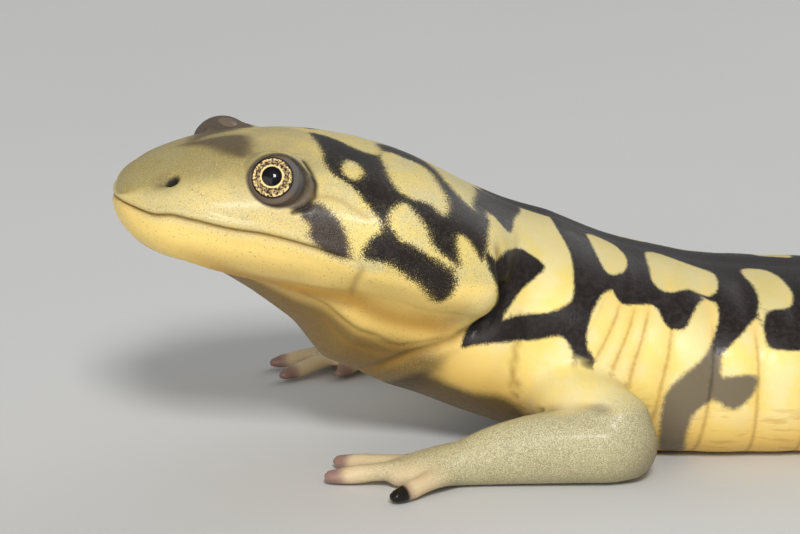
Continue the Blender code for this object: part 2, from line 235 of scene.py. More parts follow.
def skin_sheet():
    """A sheet wrapped round the spine, with each point's station and turn kept as layers."""
    stations = ring_stations()
    mesh = bmesh.new()
    bmesh.ops.create_grid(mesh, x_segments=BODY_SIDES, y_segments=len(stations) - 1, size=0.5)
    at_station = mesh.verts.layers.float.new("station")
    at_across = mesh.verts.layers.float.new("across")
    at_down = mesh.verts.layers.float.new("down")
    points = np.array([vert.co[:2] for vert in mesh.verts]) + 0.5
    rows = np.rint(points[:, 1] * (len(stations) - 1)).astype(int)
    turns = 2 * math.pi * points[:, 0] + math.pi
    where = surface(stations[rows], turns)
    for vert, point, row, turn in zip(mesh.verts, where, rows, turns):
        vert.co = point
        vert[at_station] = stations[row]
        vert[at_across], vert[at_down] = math.sin(turn), math.cos(turn)
    bmesh.ops.remove_doubles(mesh, verts=mesh.verts, dist=SAME_PLACE)
    bmesh.ops.holes_fill(mesh, edges=[e for e in mesh.edges if e.is_boundary], sides=0)
    return mesh, (at_station, at_across, at_down)


def refine(mesh, layers, wanted):
    """Halves the edges of the faces whose middles are wanted."""
    at_station = layers[0]
    middles = np.array([face.calc_center_median() for face in mesh.faces])
    stations = np.array([np.mean([v[at_station] for v in face.verts]) for face in mesh.faces])
    chosen = wanted(middles, stations)
    edges = {edge for face, take in zip(mesh.faces, chosen) if take for edge in face.edges}
    bmesh.ops.subdivide_edges(mesh, edges=list(edges), cuts=1, use_grid_fill=True)


def layer_values(mesh, layers):
    values = np.array([[vert[layer] for layer in layers] for vert in mesh.verts])
    return values[:, 0], np.arctan2(values[:, 1], values[:, 2])


def head_places(points):
    """Each point's place in the head: back from the snout, left and up."""
    return (points - SNOUT) @ np.stack([HEAD_BACK, HEAD_LEFT, HEAD_UP], 1)


# ---------------------------------------------------------------- relief of the skin

# The mouth's height along the head, and its rolls: how high, how far above that line, how wide.
MOUTH_LINE = (
    (0, -0.5), (1.7, -0.42), (3.1, 0.0), (4.5, -0.02), (5.9, -0.12), (7.4, -0.18), (9, -0.14), (13, -0.5),
    (MOUTH_LENGTH, -1.2),
)
LIP_ROLLS = ((-0.40, 0.0, 0.11), (0.17, 0.45, 0.34), (0.10, -0.55, 0.40))
# Each crease: how deep, how wide, and its path as (station, turn in degrees) on one flank.
CREASES = {
    "behind_eye": (0.07, 0.26, ((13.0, 60), (13.9, 59), (14.9, 60), (15.9, 64), (17.1, 70))),
    "jaw_angle": (0.16, 0.34, ((17.2, 100), (17.5, 111), (18.4, 126))),
    "behind_cheek": (0.95, 0.62, ((27.4, 66), (28.8, 80), (30.8, 93), (31.4, 103), (29.8, 116))),
    "gular": (0.34, 0.50, ((29.8, 116), (27.8, 131), (26.0, 148), (25.2, 165), (25.0, 180))),
    "throat_upper": (0.22, 0.17, ((15.0, 141), (18.8, 145), (21.6, 145), (24.1, 146), (27.6, 127))),
    "throat_lower": (0.12, 0.18, ((17.5, 153), (20.0, 155), (23.0, 154), (25.0, 152))),
    "shoulder": (0.55, 0.34, ((33.6, 94), (34.6, 101), (35.5, 110), (37.6, 127))),
    "shoulder_rear": (0.25, 0.30, ((39.6, 99), (41.6, 103), (43.0, 112))),
}
# Each swelling: how high, how wide, and its middle as (station, turn in degrees).
SWELLINGS = {
    "temple": (0.45, 3.6, (19.5, 72)),
    "cheek": (0.55, 3.2, (23.8, 108)),
    "cheek_corner": (0.50, 1.9, (29.0, 93)),
    "jaw_end": (0.25, 1.6, (15.6, 122)),
    "breast": (0.60, 3.4, (33.6, 127)),
    "shoulder": (0.50, 3.6, (39.0, 92)),
    "hip": (0.60, 5.0, (106.0, 92)),
}
NOSTRIL, NOSTRIL_FRONT = (3.1, 41), (2.5, 41)
NOSTRIL_PITS = ((0.95, 0.42, NOSTRIL), (0.25, 0.40, NOSTRIL_FRONT))
JAW_RIM = (0.30, 0.75, ((1.5, 140), (6.0, 143), (10.1, 148), (14.1, 143), (18.0, 131)))
# Costal grooves' stations: close folds behind the shoulder, then even ones.
RIB_STATIONS = (36.5, 39.8, 41.4, 42.95, 44.3, 46.9, 50.8, 54.7, *(58.6 + 4.1 * k for k in range(24)))


def trace(path, flank=1):
    """Points of the plain body along a smooth path on one flank (1 left, -1 right)."""
    knots = [(k, *pair) for k, pair in enumerate(path)]
    fine = curve(knots, np.linspace(0, len(path) - 1, 6 * (len(path) - 1) + 1))
    return surface(fine[:, 0], np.radians(fine[:, 1]) * flank)


def from_spot(points, spot, flank):
    """Distance of each point from a spot on one flank of the plain body."""
    return np.linalg.norm(points - trace((spot, spot), flank)[0], axis=1)


def away(points, line, reach=4.0):
    """Distance of each point from a line (far ones count as reach), and its place along it."""
    nearest = np.full(len(points), reach)
    place = np.zeros(len(points))
    close = np.all((points > line.min(0) - reach) & (points < line.max(0) + reach), axis=1)
    here = points[close]
    best, share = nearest[close], place[close]
    for k in range(len(line) - 1):
        step = line[k + 1] - line[k]
        t = np.clip((here - line[k]) @ step / (step @ step), 0.0, 1.0)
        gap = np.linalg.norm(here - line[k] - t[:, None] * step, axis=1)
        nearer = gap < best
        best[nearer] = gap[nearer]
        share[nearer] = (k + t[nearer]) / (len(line) - 1)
    nearest[close], place[close] = best, share
    return nearest, place


def ribs(station, turn):
    """Costal count: a whole number in each groove, rising steadily between them."""
    slant = (0.2 - 0.8 * (1 - ease(43.5, 48.0, station))) * (np.abs(np.degrees(turn)) - 85.0) / 30.0
    return np.interp(station - np.clip(slant, -1.0, 1.0), RIB_STATIONS, range(len(RIB_STATIONS)))


def rib_spacing(station):
    middles = np.convolve(RIB_STATIONS, (0.5, 0.5), "valid")
    return np.interp(station, middles, np.diff(RIB_STATIONS))


def rib_strength(station, turn):
    """How clear the grooves are: full on the flanks, none on the back, belly and neck."""
    side = np.abs(np.degrees(turn))
    fading = (1 - 0.55 * ease(99.0, 106.0, station)) * (1 - ease(125.0, 150.0, station))
    length = ease(39.0, 42.0, station) * fading
    return length * ease(14.0, 48.0, side) * (1 - ease(150.0, 172.0, side))


def head_relief(points, flank):
    """Height of the creases, swellings, jaw rim and nostril of one flank over the plain body."""
    height = np.zeros(len(points))
    for depth, wide, path in CREASES.values():
        gap, share = away(points, trace(path, flank))
        fading = 0.35 + 0.65 * ease(0.0, 0.2, share) * (1 - ease(0.8, 1.0, share))
        height -= depth * fading * hill(gap, 0.0, wide)
    for high, wide, middle in SWELLINGS.values():
        height += high * hill(from_spot(points, middle, flank), 0.0, wide)
    high, wide, path = JAW_RIM
    gap, share = away(points, trace(path, flank))
    height += high * ease(0.0, 0.35, share) * hill(gap, 0.0, wide)
    for depth, wide, spot in NOSTRIL_PITS:
        height -= depth * hill(from_spot(points, spot, flank), 0.0, wide)
    return height


def trunk_relief(station, turn):
    """Height of the costal folds and of the line along the back over the plain body."""
    fold = np.abs(np.sin(math.pi * ribs(station, turn))) ** 0.7
    low = 1 - 0.8 * ease(105.0, 140.0, np.abs(np.degrees(turn)))
    folds = (0.16 + 0.20 * ease(46.0, 50.0, station)) * low * (fold - 0.7) * rib_strength(station, turn)
    spine_line = ease(24.0, 34.0, station) * (1 - ease(100.0, 112.0, station))
    return folds - 0.22 * hill(np.abs(turn), 0.0, 0.12) * spine_line


def relief(points, station, turn):
    """Height of the real skin over the plain body."""
    back, _, up = head_places(points).T
    off = up - curve(MOUTH_LINE, back)
    lips = 1 - ease(14.0, 17.5, back)
    height = lips * sum(high * hill(off, above, wide) for high, above, wide in LIP_ROLLS)
    height -= 0.55 * hill(station, 0.0, 1.5) * hill(off, 0.3, 1.7)  # the snout's rounded tip
    return height + head_relief(points, 1) + head_relief(points, -1) + trunk_relief(station, turn)


# ---------------------------------------------------------------- eyes and lids

# Directions in the head as back, left and up: where the lids open, and where the eye looks.
LIDS_FACE = (-0.23, 0.93, 0.28)
GAZE = (-0.44, 0.82, 0.36)
OPEN_FRONT, OPEN_REAR, OPEN_ABOVE, OPEN_BELOW = 2.15, 2.25, 1.98, 1.98  # half sizes of the opening
# The fold behind the lids, ahead of and above the eye's centre.
LID_FOLD = (
    (-2.2, 1.9, 0), (-2.75, 0.9, 0), (-3.05, 0.0, 0), (-2.95, -1.0, 0), (-2.3, -1.9, 0), (-1.3, -2.35, 0),
)
LID_FOLD_DEPTH, LID_FOLD_WIDE = 0.34, 0.17
LIDS_REACH = 6.0  # how far from an eye its lids change the skin
UNDER_GLOBE = 0.7  # how deep the skin lies under the eye's surface inside the opening


def eye_frame(flank, facing):
    """An eye's centre, and unit vectors: out of the head, towards the snout, and above."""
    back, left, up = facing
    centre = in_head(EYE_BACK, EYE_OUT * flank, EYE_UP)
    out = unit(HEAD_BACK * back + HEAD_LEFT * (left * flank) + HEAD_UP * up)
    ahead = unit(-HEAD_BACK + out * (HEAD_BACK @ out))
    above = np.cross(out, ahead) * (-flank)
    return centre, out, ahead, above if above @ HEAD_UP > 0 else -above


def soft_max(one, two, soft):
    return 0.5 * (one + two + np.sqrt((one - two) ** 2 + soft ** 2))


def by_eye(points, flank):
    """Each point's height over an eye, its place ahead and above, and its share of the opening."""
    centre, out, ahead, above = eye_frame(flank, LIDS_FACE)
    rows = points - centre
    height, front, rise = rows @ out, rows @ ahead, rows @ above
    along = np.where(front > 0, front / OPEN_FRONT, front / OPEN_REAR)
    across = np.where(rise > 0, rise / OPEN_ABOVE, rise / OPEN_BELOW)
    return height, front, rise, np.hypot(along, across)


def by_lid_fold(front, rise):
    """Distance from the fold that runs round the rear corner of the lids."""
    return away(np.stack([front, rise, 0 * rise], 1), np.array(LID_FOLD))[0]


def lids(points, flank):
    """Lays the skin over an eye, opens it, and folds it at the rear corner."""
    centre, out, _, _ = eye_frame(flank, LIDS_FACE)
    near = np.linalg.norm(points - centre, axis=1) < LIDS_REACH
    height, front, rise, share = by_eye(points[near], flank)
    outward = height > -1.0
    reach = np.hypot(front, rise)
    thick = (0.08 if flank > 0 else 0.0) + 0.14 * ease(-0.3, 1.2, rise)
    over = np.sqrt(np.maximum((EYE_RADIUS + thick) ** 2 - reach ** 2, 0.0))
    over = over - 3.0 * ease(2.45, 4.6, reach)
    covered = soft_max(height, over, 0.25)
    covered -= LID_FOLD_DEPTH * hill(by_lid_fold(front, rise), 0.0, LID_FOLD_WIDE)
    globe = np.sqrt(np.maximum(EYE_RADIUS ** 2 - reach ** 2, 0.0)) - UNDER_GLOBE
    target = globe + (covered - globe) * ease(0.93, 1.03, share)
    moved = np.where(outward, target - height, 0.0) * (1 - ease(4.6, 5.8, reach))
    points = points.copy()
    points[near] += moved[:, None] * out
    return points


def outward_normals(station, turn):
    small = 0.02
    along = surface(station + small, turn) - surface(np.maximum(station - small, 0.001), turn)
    around = surface(station, turn + small) - surface(station, turn - small)
    return unit(np.cross(around, along))


def skin_points(station, turn):
    """Every point of the body's skin, with its relief and lids."""
    plain = surface(station, turn)
    shown = plain + outward_normals(station, turn) * relief(plain, station, turn)[:, None]
    return lids(lids(shown, 1), -1)


def near_any(points, spots, reach):
    return np.min([np.linalg.norm(points - spot, axis=1) for spot in spots], axis=0) < reach


def by_lips(points):
    back, _, up = head_places(points).T
    return (np.abs(up - curve(MOUTH_LINE, back)) < FINE_LIPS) & (back < MOUTH_LENGTH)


def body_skin():
    """The body's skin, with the head twice as fine, and eyes, nostrils and lips finer still."""
    mesh, layers = skin_sheet()
    eyes = [eye_frame(flank, LIDS_FACE)[0] for flank in (1, -1)]
    nostrils = [trace((NOSTRIL, NOSTRIL), flank)[0] for flank in (1, -1)]
    refine(mesh, layers, lambda middles, stations: stations < FINE_HEAD)
    refine(mesh, layers, lambda middles, stations: near_any(middles, eyes, FINE_EYES) | by_lips(middles))
    refine(mesh, layers, lambda middles, stations: near_any(middles, nostrils, FINE_NOSTRILS))
    station, turn = layer_values(mesh, layers)
    where = skin_points(station, turn)
    for vert, point in zip(mesh.verts, where):
        vert.co = point
    return mesh, station, turn


# ---------------------------------------------------------------- legs

# Each limb: joints of the upper and the lower length, down to the ankle, as x, y, z, half width and
# half height, then the foot's heading in degrees, and which way its last toe lies along Y.
LIMBS = {
    "fore_left": (
        ((9.8, -0.6, 8.0, 3.6, 3.8), (13.4, -7.0, 6.5, 3.2, 3.3), (17.2, -10.0, 4.5, 2.8, 2.9)),
        (
            (18.0, -10.5, 3.1, 2.5, 2.9), (16.2, -10.6, 3.1, 3.0, 3.1), (11.5, -10.9, 2.9, 2.6, 2.9),
            (7.6, -11.2, 2.4, 2.1, 2.4), (5.9, -11.3, 2.0, 1.95, 2.0),
        ),
        182.5, -1,
    ),
    "fore_right": (
        ((11.6, 5.5, 8.8, 3.4, 3.6), (12.4, 12.6, 7.4, 2.9, 3.0), (11.6, 19.4, 4.4, 2.5, 2.6)),
        (
            (12.4, 20.4, 3.3, 2.1, 2.2), (10.8, 20.9, 3.1, 2.6, 2.7), (6.0, 21.4, 2.7, 2.4, 2.5),
            (1.8, 21.6, 2.0, 1.9, 2.0), (0.2, 21.6, 1.6, 1.8, 1.5),
        ),
        183.0, 1,
    ),
    "hind_left": (
        ((76.6, -1.0, 6.6, 3.6, 3.6), (74.0, -9.0, 6.2, 3.2, 3.3), (70.8, -16.8, 4.9, 2.7, 2.8)),
        (
            (70.2, -17.4, 4.3, 2.2, 2.3), (71.2, -18.2, 3.9, 2.7, 2.9), (75.0, -21.2, 2.9, 2.4, 2.5),
            (77.6, -23.4, 2.1, 2.0, 2.0), (78.6, -24.3, 1.7, 1.9, 1.6),
        ),
        208.0, -1,
    ),
    "hind_right": (
        ((77.4, 8.0, 6.6, 3.6, 3.6), (76.6, 15.4, 6.2, 3.2, 3.3), (74.4, 23.0, 4.9, 2.7, 2.8)),
        (
            (74.0, 23.8, 4.3, 2.2, 2.3), (75.2, 24.4, 3.9, 2.7, 2.9), (79.4, 26.8, 2.9, 2.4, 2.5),
            (82.4, 28.6, 2.1, 2.0, 2.0), (83.4, 29.4, 1.7, 1.9, 1.6),
        ),
        150.0, 1,
    ),
}
# Palm: distance from the ankle, half width, and half height, which is also its axis's height.
PALM = ((0.0, 1.85, 1.8), (0.9, 1.9, 1.8), (2.6, 2.35, 1.6), (4.4, 2.25, 1.35), (6.0, 1.7, 1.05))
# Each toe: start along and outward from the ankle, splay outward in degrees, length.
TOES = {
    "fore": ((3.3, -1.7, -44.0, 3.4), (5.6, -1.1, -34.0, 6.0), (5.9, 0.3, -9.0, 5.6), (2.7, 1.9, 36.0, 4.6)),
    "hind": (
        (2.9, -1.9, -44.0, 3.4), (5.2, -1.3, -26.0, 5.4), (5.9, -0.2, -7.0, 6.2), (5.4, 1.1, 14.0, 6.2),
        (3.4, 2.0, 42.0, 4.6),
    ),
}
# Each toe's share of length, radius, and how far its axis is off the floor.
TOE_SHAPE = ((0.0, 0.97, 1.35), (0.35, 0.84, 1.15), (0.62, 0.86, 0.9), (0.85, 0.76, 0.7), (1.0, 0.64, 0.6))
TOE_ROOT, TOE_ROOT_SIZE = 1.2, (1.3, 0.9, 0.85)  # how far a toe starts inside the palm; height, radii
TOE_FLATNESS = 0.92
NEAR_LIMB = "fore_left"
BEAD_GAP = 0.45
NEAR_CELL, FAR_CELL = 0.27, 0.42  # sizes of the cells in which the balls become one surface


def bead(mesh, place, ahead, wide, high):
    """A flattened ball, turned so that its width lies across the limb."""
    ahead = Vector(ahead).normalized()
    side = ahead.cross(Vector((0, 0, 1))).normalized()
    up = side.cross(ahead)
    made = bmesh.ops.create_uvsphere(mesh, u_segments=14, v_segments=9, radius=1.0)["verts"]
    for vert in made:
        x, y, z = vert.co
        vert.co = Vector(place) + ahead * (x * min(wide, high)) + side * (y * wide) + up * (z * high)


def string_of_beads(whole, joints):
    """Adds balls strung closely along a limb's joints."""
    knots = [(k, *joint) for k, joint in enumerate(joints)]
    length = sum(math.dist(a[:3], b[:3]) for a, b in zip(joints, joints[1:]))
    places = curve(knots, np.linspace(0, len(joints) - 1, max(3, int(length / BEAD_GAP))))
    ahead = np.gradient(places[:, :3], axis=0)
    mesh = bmesh.new()
    for place, along in zip(places, ahead):
        bead(mesh, place[:3], along, place[3], place[4])
    string = bpy.data.meshes.new("string")
    mesh.to_mesh(string)
    mesh.free()
    whole.from_mesh(string)
    bpy.data.meshes.remove(string)


def foot_joints(name):
    """The joints of a limb's palm, and of each of its toes."""
    _, lower, heading, hand = LIMBS[name]
    ankle = np.array(lower[-1][:2])
    turn = math.radians(heading)
    ahead = np.array((math.cos(turn), math.sin(turn)))
    outward = np.array((-ahead[1], ahead[0]))
    if outward[1] * hand < 0:
        outward = -outward

    def spot(along, out, height, wide, high):
        return (*(ankle + ahead * along + outward * out), height, wide, high)

    palm = [spot(along, 0.0, high, wide, high) for along, wide, high in PALM]
    toes = []
    for along, out, splay, length in TOES[name.split("_")[0]]:
        lean = math.radians(splay)
        forth, sideways = math.cos(lean), math.sin(lean)
        toe = [spot(along - TOE_ROOT * forth, out - TOE_ROOT * sideways, *TOE_ROOT_SIZE)]
        for share, radius, height in TOE_SHAPE:
            place = (along + share * length * forth, out + share * length * sideways)
            toe.append(spot(*place, height, radius, radius * TOE_FLATNESS))
        toes.append(toe)
    return palm, toes


def limb_piece(name):
    """One leg as a smooth closed mesh, down to its toes."""
    upper, lower, _, _ = LIMBS[name]
    palm, toes = foot_joints(name)
    mesh = bmesh.new()
    for joints in (upper, lower, palm, *toes):
        string_of_beads(mesh, joints)
    piece = new_object(f"{name}_limb", mesh)
    cell = piece.modifiers.new("one_surface", "REMESH")
    cell.mode = "VOXEL"
    cell.voxel_size = NEAR_CELL if name == NEAR_LIMB else FAR_CELL
    soft = piece.modifiers.new("soften", "SMOOTH")
    soft.factor = 0.5
    soft.iterations = 7
    return baked(piece)


# ---------------------------------------------------------------- joining the skin

ON_BODY = 1e-3  # a point of the joined skin this close to one of the body's is that point
SEAM_REACH, SLIVER = 0.3, 0.09  # by a seam, points closer than a sliver's width become one
SEAM_SOFT = (0.6, 2.8)  # the skin is softened up to the first distance from a seam, and less up to the second
SOFTENING, SOFTENING_ROUNDS = 0.6, 50
LIMB_FADE = (-0.2, 1.8)  # where a leg's colours set in, from inside the seam to outside it


def new_object(name, mesh):
    data = bpy.data.meshes.new(name)
    mesh.to_mesh(data)
    mesh.free()
    made = bpy.data.objects.new(name, data)
    bpy.context.scene.collection.objects.link(made)
    return made


def baked(piece):
    """The piece with its modifiers made into its mesh."""
    graph = bpy.context.evaluated_depsgraph_get()
    data = bpy.data.meshes.new_from_object(piece.evaluated_get(graph))
    old = piece.data
    piece.modifiers.clear()
    piece.data = data
    bpy.data.meshes.remove(old)
    return piece


def points_of(data):
    flat = np.empty(len(data.vertices) * 3, np.float32)
    data.vertices.foreach_get("co", flat)
    return flat.reshape(-1, 3).astype(float)


def joined(body, limbs):
    for limb in limbs:
        union = body.modifiers.new("join", "BOOLEAN")
        union.operation = "UNION"
        union.solver = "EXACT"
        union.object = limb
    baked(body)
    for limb in limbs:
        bpy.data.objects.remove(limb)
    return body


def without_slivers(data, near, reach):
    """Merges points that nearly touch, where near says so."""
    mesh = bmesh.new()
    mesh.from_mesh(data)
    chosen = [vert for vert, take in zip(mesh.verts, near) if take]
    bmesh.ops.remove_doubles(mesh, verts=chosen, dist=reach)
    bmesh.ops.recalc_face_normals(mesh, faces=mesh.faces)
    mesh.to_mesh(data)
    mesh.free()


def nearest_rows(points, others):
    """For each point, which of the others is nearest, and how far it is."""
    tree = KDTree(len(others))
    for k, other in enumerate(others):
        tree.insert(other, k)
    tree.balance()
    found = [tree.find(point)[1:] for point in points]
    return np.array([row for row, _ in found]), np.array([gap for _, gap in found])


def neighbours(data):
    ends = np.empty(len(data.edges) * 2, np.int32)
    data.edges.foreach_get("vertices", ends)
    ends = ends.reshape(-1, 2)
    return np.concatenate([ends[:, 0], ends[:, 1]]), np.concatenate([ends[:, 1], ends[:, 0]])


def smoothed(values, links, weight, rounds):
    """Values drawn towards their neighbours' mean, where weight says."""
    here, there = links
    count = np.maximum(np.bincount(here, minlength=len(values)), 1)[:, None]
    for _ in range(rounds):
        total = np.stack([np.bincount(here, column[there], len(values)) for column in values.T], 1)
        values = values + weight[:, None] * (total / count - values)
    return values


def rest_on_floor(points):
    """Skin that would sink under the floor lies flat on it, with a soft edge."""
    soft = 0.12
    points[:, 2] = 0.5 * (points[:, 2] + np.sqrt(points[:, 2] ** 2 + soft ** 2))
    return points


# ---------------------------------------------------------------- markings

MM_PER_DEGREE = 0.18  # along the skin, round the body
# Outlines of markings as (station, turn in degrees). Each covers or clears what comes before it.
HEAD_MARKS = (
    ("dark", (
        (15.6, -2), (16.9, 3), (18.3, 18), (19.9, 18), (21.0, -3), (22.9, -2), (23.5, 8), (23.4, 18),
        (23.4, 32), (24.0, 43), (25.0, 47), (26.0, 47), (25.6, 60), (25.4, 74), (25.2, 81), (24.3, 75),
        (23.6, 70), (23.1, 71), (23.1, 77), (23.4, 85), (23.7, 89), (23.3, 92), (23.9, 96), (24.0, 101),
        (23.7, 106), (22.9, 105), (21.6, 101), (20.4, 98), (19.0, 95), (17.8, 95), (17.0, 94),
        (17.0, 89), (17.4, 82), (18.0, 77), (17.9, 71), (17.4, 66), (16.8, 59), (16.3, 53),
        (15.6, 48), (14.9, 44), (14.5, 36), (14.9, 24), (15.2, 9),
    )),
    ("pale", (
        (19.8, 18), (19.4, 33), (19.3, 42), (19.6, 50), (20.3, 54), (21.1, 54), (21.6, 56), (22.1, 60),
        (22.4, 57), (22.7, 49), (22.6, 39), (22.6, 28), (22.4, 20), (21.6, 16), (20.8, 12),
    )),
    ("pale", (
        (19.1, 61), (19.6, 58), (20.1, 60), (20.6, 66), (21.1, 72), (21.4, 79), (22.1, 85), (23.4, 91),
        (22.7, 91.5), (21.5, 88), (20.3, 83), (19.5, 81), (18.8, 75), (18.5, 70), (18.6, 65),
    )),
    ("pale", ((16.1, 35), (16.8, 31), (17.3, 34), (17.4, 40), (16.8, 45), (16.3, 46), (15.8, 42))),
    ("stain", (
        (12.1, 65), (13.3, 64), (14.1, 68), (14.8, 73), (15.3, 79), (15.8, 88), (16.1, 94), (15.8, 97),
        (14.8, 97), (13.8, 94), (12.8, 88), (12.7, 80), (12.1, 75), (11.6, 69),
    )),
    ("smudge", (
        (9.9, 3), (9.5, 18), (8.6, 30), (7.6, 26), (7.0, 17), (6.6, 8), (5.4, -8), (7.2, -4), (8.4, -3),
        (9.4, -1),
    )),
)
NECK_MARKS = (
    ("dark", (
        (26.6, 19), (27.4, 6), (29.6, 2), (31.3, 3), (31.0, 16), (30.1, 28), (29.3, 43), (28.1, 43),
        (27.1, 40), (26.1, 42), (25.6, 52), (24.6, 44),
    )),
    ("dark", (
        (28.3, 62), (30.1, 54), (31.6, 53), (33.8, 57), (33.3, 66), (32.6, 76), (32.2, 86), (32.3, 97),
        (32.2, 106), (31.4, 116), (30.4, 118), (30.2, 108), (29.8, 101), (28.6, 93), (27.4, 88),
        (26.2, 84), (25.1, 73), (26.2, 74), (27.5, 74),
    )),
    ("dark", (
        (34.6, 5), (34.8, 21), (35.8, 33), (36.5, 42), (37.0, 55), (37.4, 67), (37.1, 74), (35.9, 83),
        (34.4, 90), (33.2, 95), (32.2, 100), (31.2, 108), (31.2, 116), (33.5, 107), (35.0, 102),
        (36.4, 97), (37.5, 92), (38.4, 92), (39.1, 95), (39.8, 99), (40.7, 102), (41.5, 101),
        (41.2, 96), (40.2, 91), (39.6, 82), (39.5, 72), (39.8, 61), (40.3, 55), (40.8, 51),
        (41.4, 55), (42.3, 58), (43.8, 55), (45.3, 53), (45.9, 58), (46.3, 63), (47.0, 65),
        (48.0, 63), (48.6, 55), (49.3, 46), (50.0, 41), (50.9, 40), (51.3, 45), (51.2, 53),
        (50.8, 62), (50.7, 71), (51.2, 75), (52.6, 65), (53.6, 58), (54.4, 51), (55.2, 49),
        (55.3, 60), (55.5, 67), (56.2, 69), (58.4, 68), (59.6, 60), (61.0, 20), (61.0, -10), (50.0, -12),
        (40.0, -10), (36.5, -6),
    )),
    ("pale", (
        (38.4, 13), (39.6, 9), (41.3, 11), (42.5, 18), (42.8, 27), (42.1, 36), (40.9, 41), (40.0, 40),
        (39.3, 33), (38.8, 24),
    )),
    ("pale", (
        (45.3, 12), (46.5, 6), (47.6, 8), (49.0, 12), (50.5, 15), (51.8, 18), (51.9, 26), (51.3, 35),
        (50.0, 38), (48.6, 37), (47.1, 41), (46.0, 42), (45.3, 37), (45.2, 26),
    )),
    ("pale", (
        (54.8, 12), (55.8, 9), (57.0, 10), (57.9, 17), (58.4, 26), (58.4, 35), (57.5, 42), (56.3, 44),
        (55.7, 47), (55.3, 53), (54.8, 50), (55.3, 39), (55.3, 27), (54.9, 20),
    )),
    ("stain", (
        (48.3, 93), (49.5, 82), (50.2, 74), (50.8, 63), (51.4, 68), (51.4, 82), (51.5, 100), (50.4, 108),
        (49.9, 114), (50.0, 127), (50.6, 142), (49.0, 142), (47.9, 122), (47.5, 111), (47.5, 102),
    )),
    # Painted shadow under the breast, over some brown pigment there; it is mirrored on the right flank.
    ("shade", (
        (29.0, 146), (31.8, 140), (34.5, 136), (37.0, 131), (39.0, 134), (40.5, 150), (40.0, 185),
        (30.0, 185), (28.0, 165),
    )),
    ("stain", (
        (50.9, 97), (51.2, 91), (51.9, 89), (53.5, 86), (54.7, 87), (54.5, 97), (53.8, 103), (52.8, 107),
        (51.6, 103),
    )),
)


WAVES = ((2, 0.24), (3, 0.18), (4, 0.10))  # unevenness of a blotch: waves round it, and how deep
BLOTCH_POINTS = 14
EDGE_REACH = 3.0  # markings are measured up to this far from their edges


def blotch(station, turn, long, high, lean=0.0):
    """Outline of an uneven spot: its half length, half height in degrees, and lean in mm a degree."""
    waves = [(number, dice.uniform(0.3, 1.0) * deep, dice.uniform(0, 2 * math.pi)) for number, deep in WAVES]
    outline = []
    for k in range(BLOTCH_POINTS):
        angle = 2 * math.pi * k / BLOTCH_POINTS
        size = 1 + sum(depth * math.sin(number * angle + start) for number, depth, start in waves)
        rise = math.sin(angle) * high * size
        outline.append((station + math.cos(angle) * long * size + lean * rise, turn + rise))
    return outline


def fringe(start, end, flank):
    """Lower edge of the black back: uneven fingers that reach down the flank."""
    edge = []
    while start < end:
        wide, tip = dice.uniform(2.4, 4.4), dice.uniform(66, 92)
        for share, turn in ((0.0, 54), (0.12, tip - 9), (0.5, tip), (0.86, tip - 7), (1.0, 56)):
            edge.append((start + share * wide, flank * (turn + dice.uniform(-4, 4))))
        start += wide + dice.uniform(1.2, 2.8)
    return edge


def trunk_marks(start, flank):
    """Black back with pale blotches, some of which run into the yellow flank, and brown-grey stains."""
    edge = fringe(start + 1.0, TAIL_START, flank)
    rear = ((112.5, flank * 70), (112.5, -flank * 8), (start + 0.5, -flank * 8))
    marks = [("dark", [(start, flank * 30), (start, flank * 56), *edge, *rear])]
    station = start + 3.0
    while station < TAIL_START:
        lean = dice.uniform(-0.05, 0.05)
        turn = flank * dice.uniform(14, 32)
        marks.append(("pale", blotch(station, turn, dice.uniform(1.5, 2.9), dice.uniform(11, 19), lean)))
        if dice.random() < 0.45:
            down = blotch(station + dice.uniform(-1, 1), flank * 52, dice.uniform(0.8, 1.5), 22, lean)
            marks.append(("pale", down))
        if dice.random() < 0.6:
            low, behind = flank * dice.uniform(94, 112), station + dice.uniform(1, 4)
            marks.append(("stain", blotch(behind, low, dice.uniform(1.2, 2.4), 15, lean)))
        station += dice.uniform(5.6, 8.8)
    return marks


def tail_marks(flank):
    """Black tail with tall yellow bars, and small blotches between some of them."""
    marks = [("dark", [
        (111.5, -flank * 6), (206.0, -flank * 6), (206.0, flank * 160), (150.0, flank * 150),
        (124.0, flank * 140), (114.0, flank * 112), (110.0, flank * 60),
    ])]
    station = 116.0 + dice.uniform(0, 4)
    while station < 201.0:
        lean = dice.uniform(-0.03, 0.03)
        long = dice.uniform(2.0, 3.4) * (1 - 0.4 * ease(165.0, 204.0, station))
        middle, high = flank * dice.uniform(76, 100), dice.uniform(44, 66)
        marks.append(("pale", blotch(station, middle, long, high, lean)))
        if dice.random() < 0.5:
            marks.append(("pale", blotch(station + 3.6, flank * dice.uniform(16, 40), 1.2, 15, lean)))
        station += dice.uniform(7.0, 10.4)
    return marks


def species_marks():
    """Markings of the kind over the rest of the body, on both flanks."""
    marks = []
    for flank, start in ((1, 60.0), (-1, 33.5)):
        marks += trunk_marks(start, flank) + tail_marks(flank)
    return marks


def far_side(marks):
    """The same kind of markings on the right flank, a little off the left one's."""
    def beyond(station, turn):
        return station * 1.02 + 0.5, -turn * 1.04 - 2 - 14 * (1 - ease(18.0, 23.0, station))

    return [(kind, [beyond(station, turn) for station, turn in path]) for kind, path in marks]


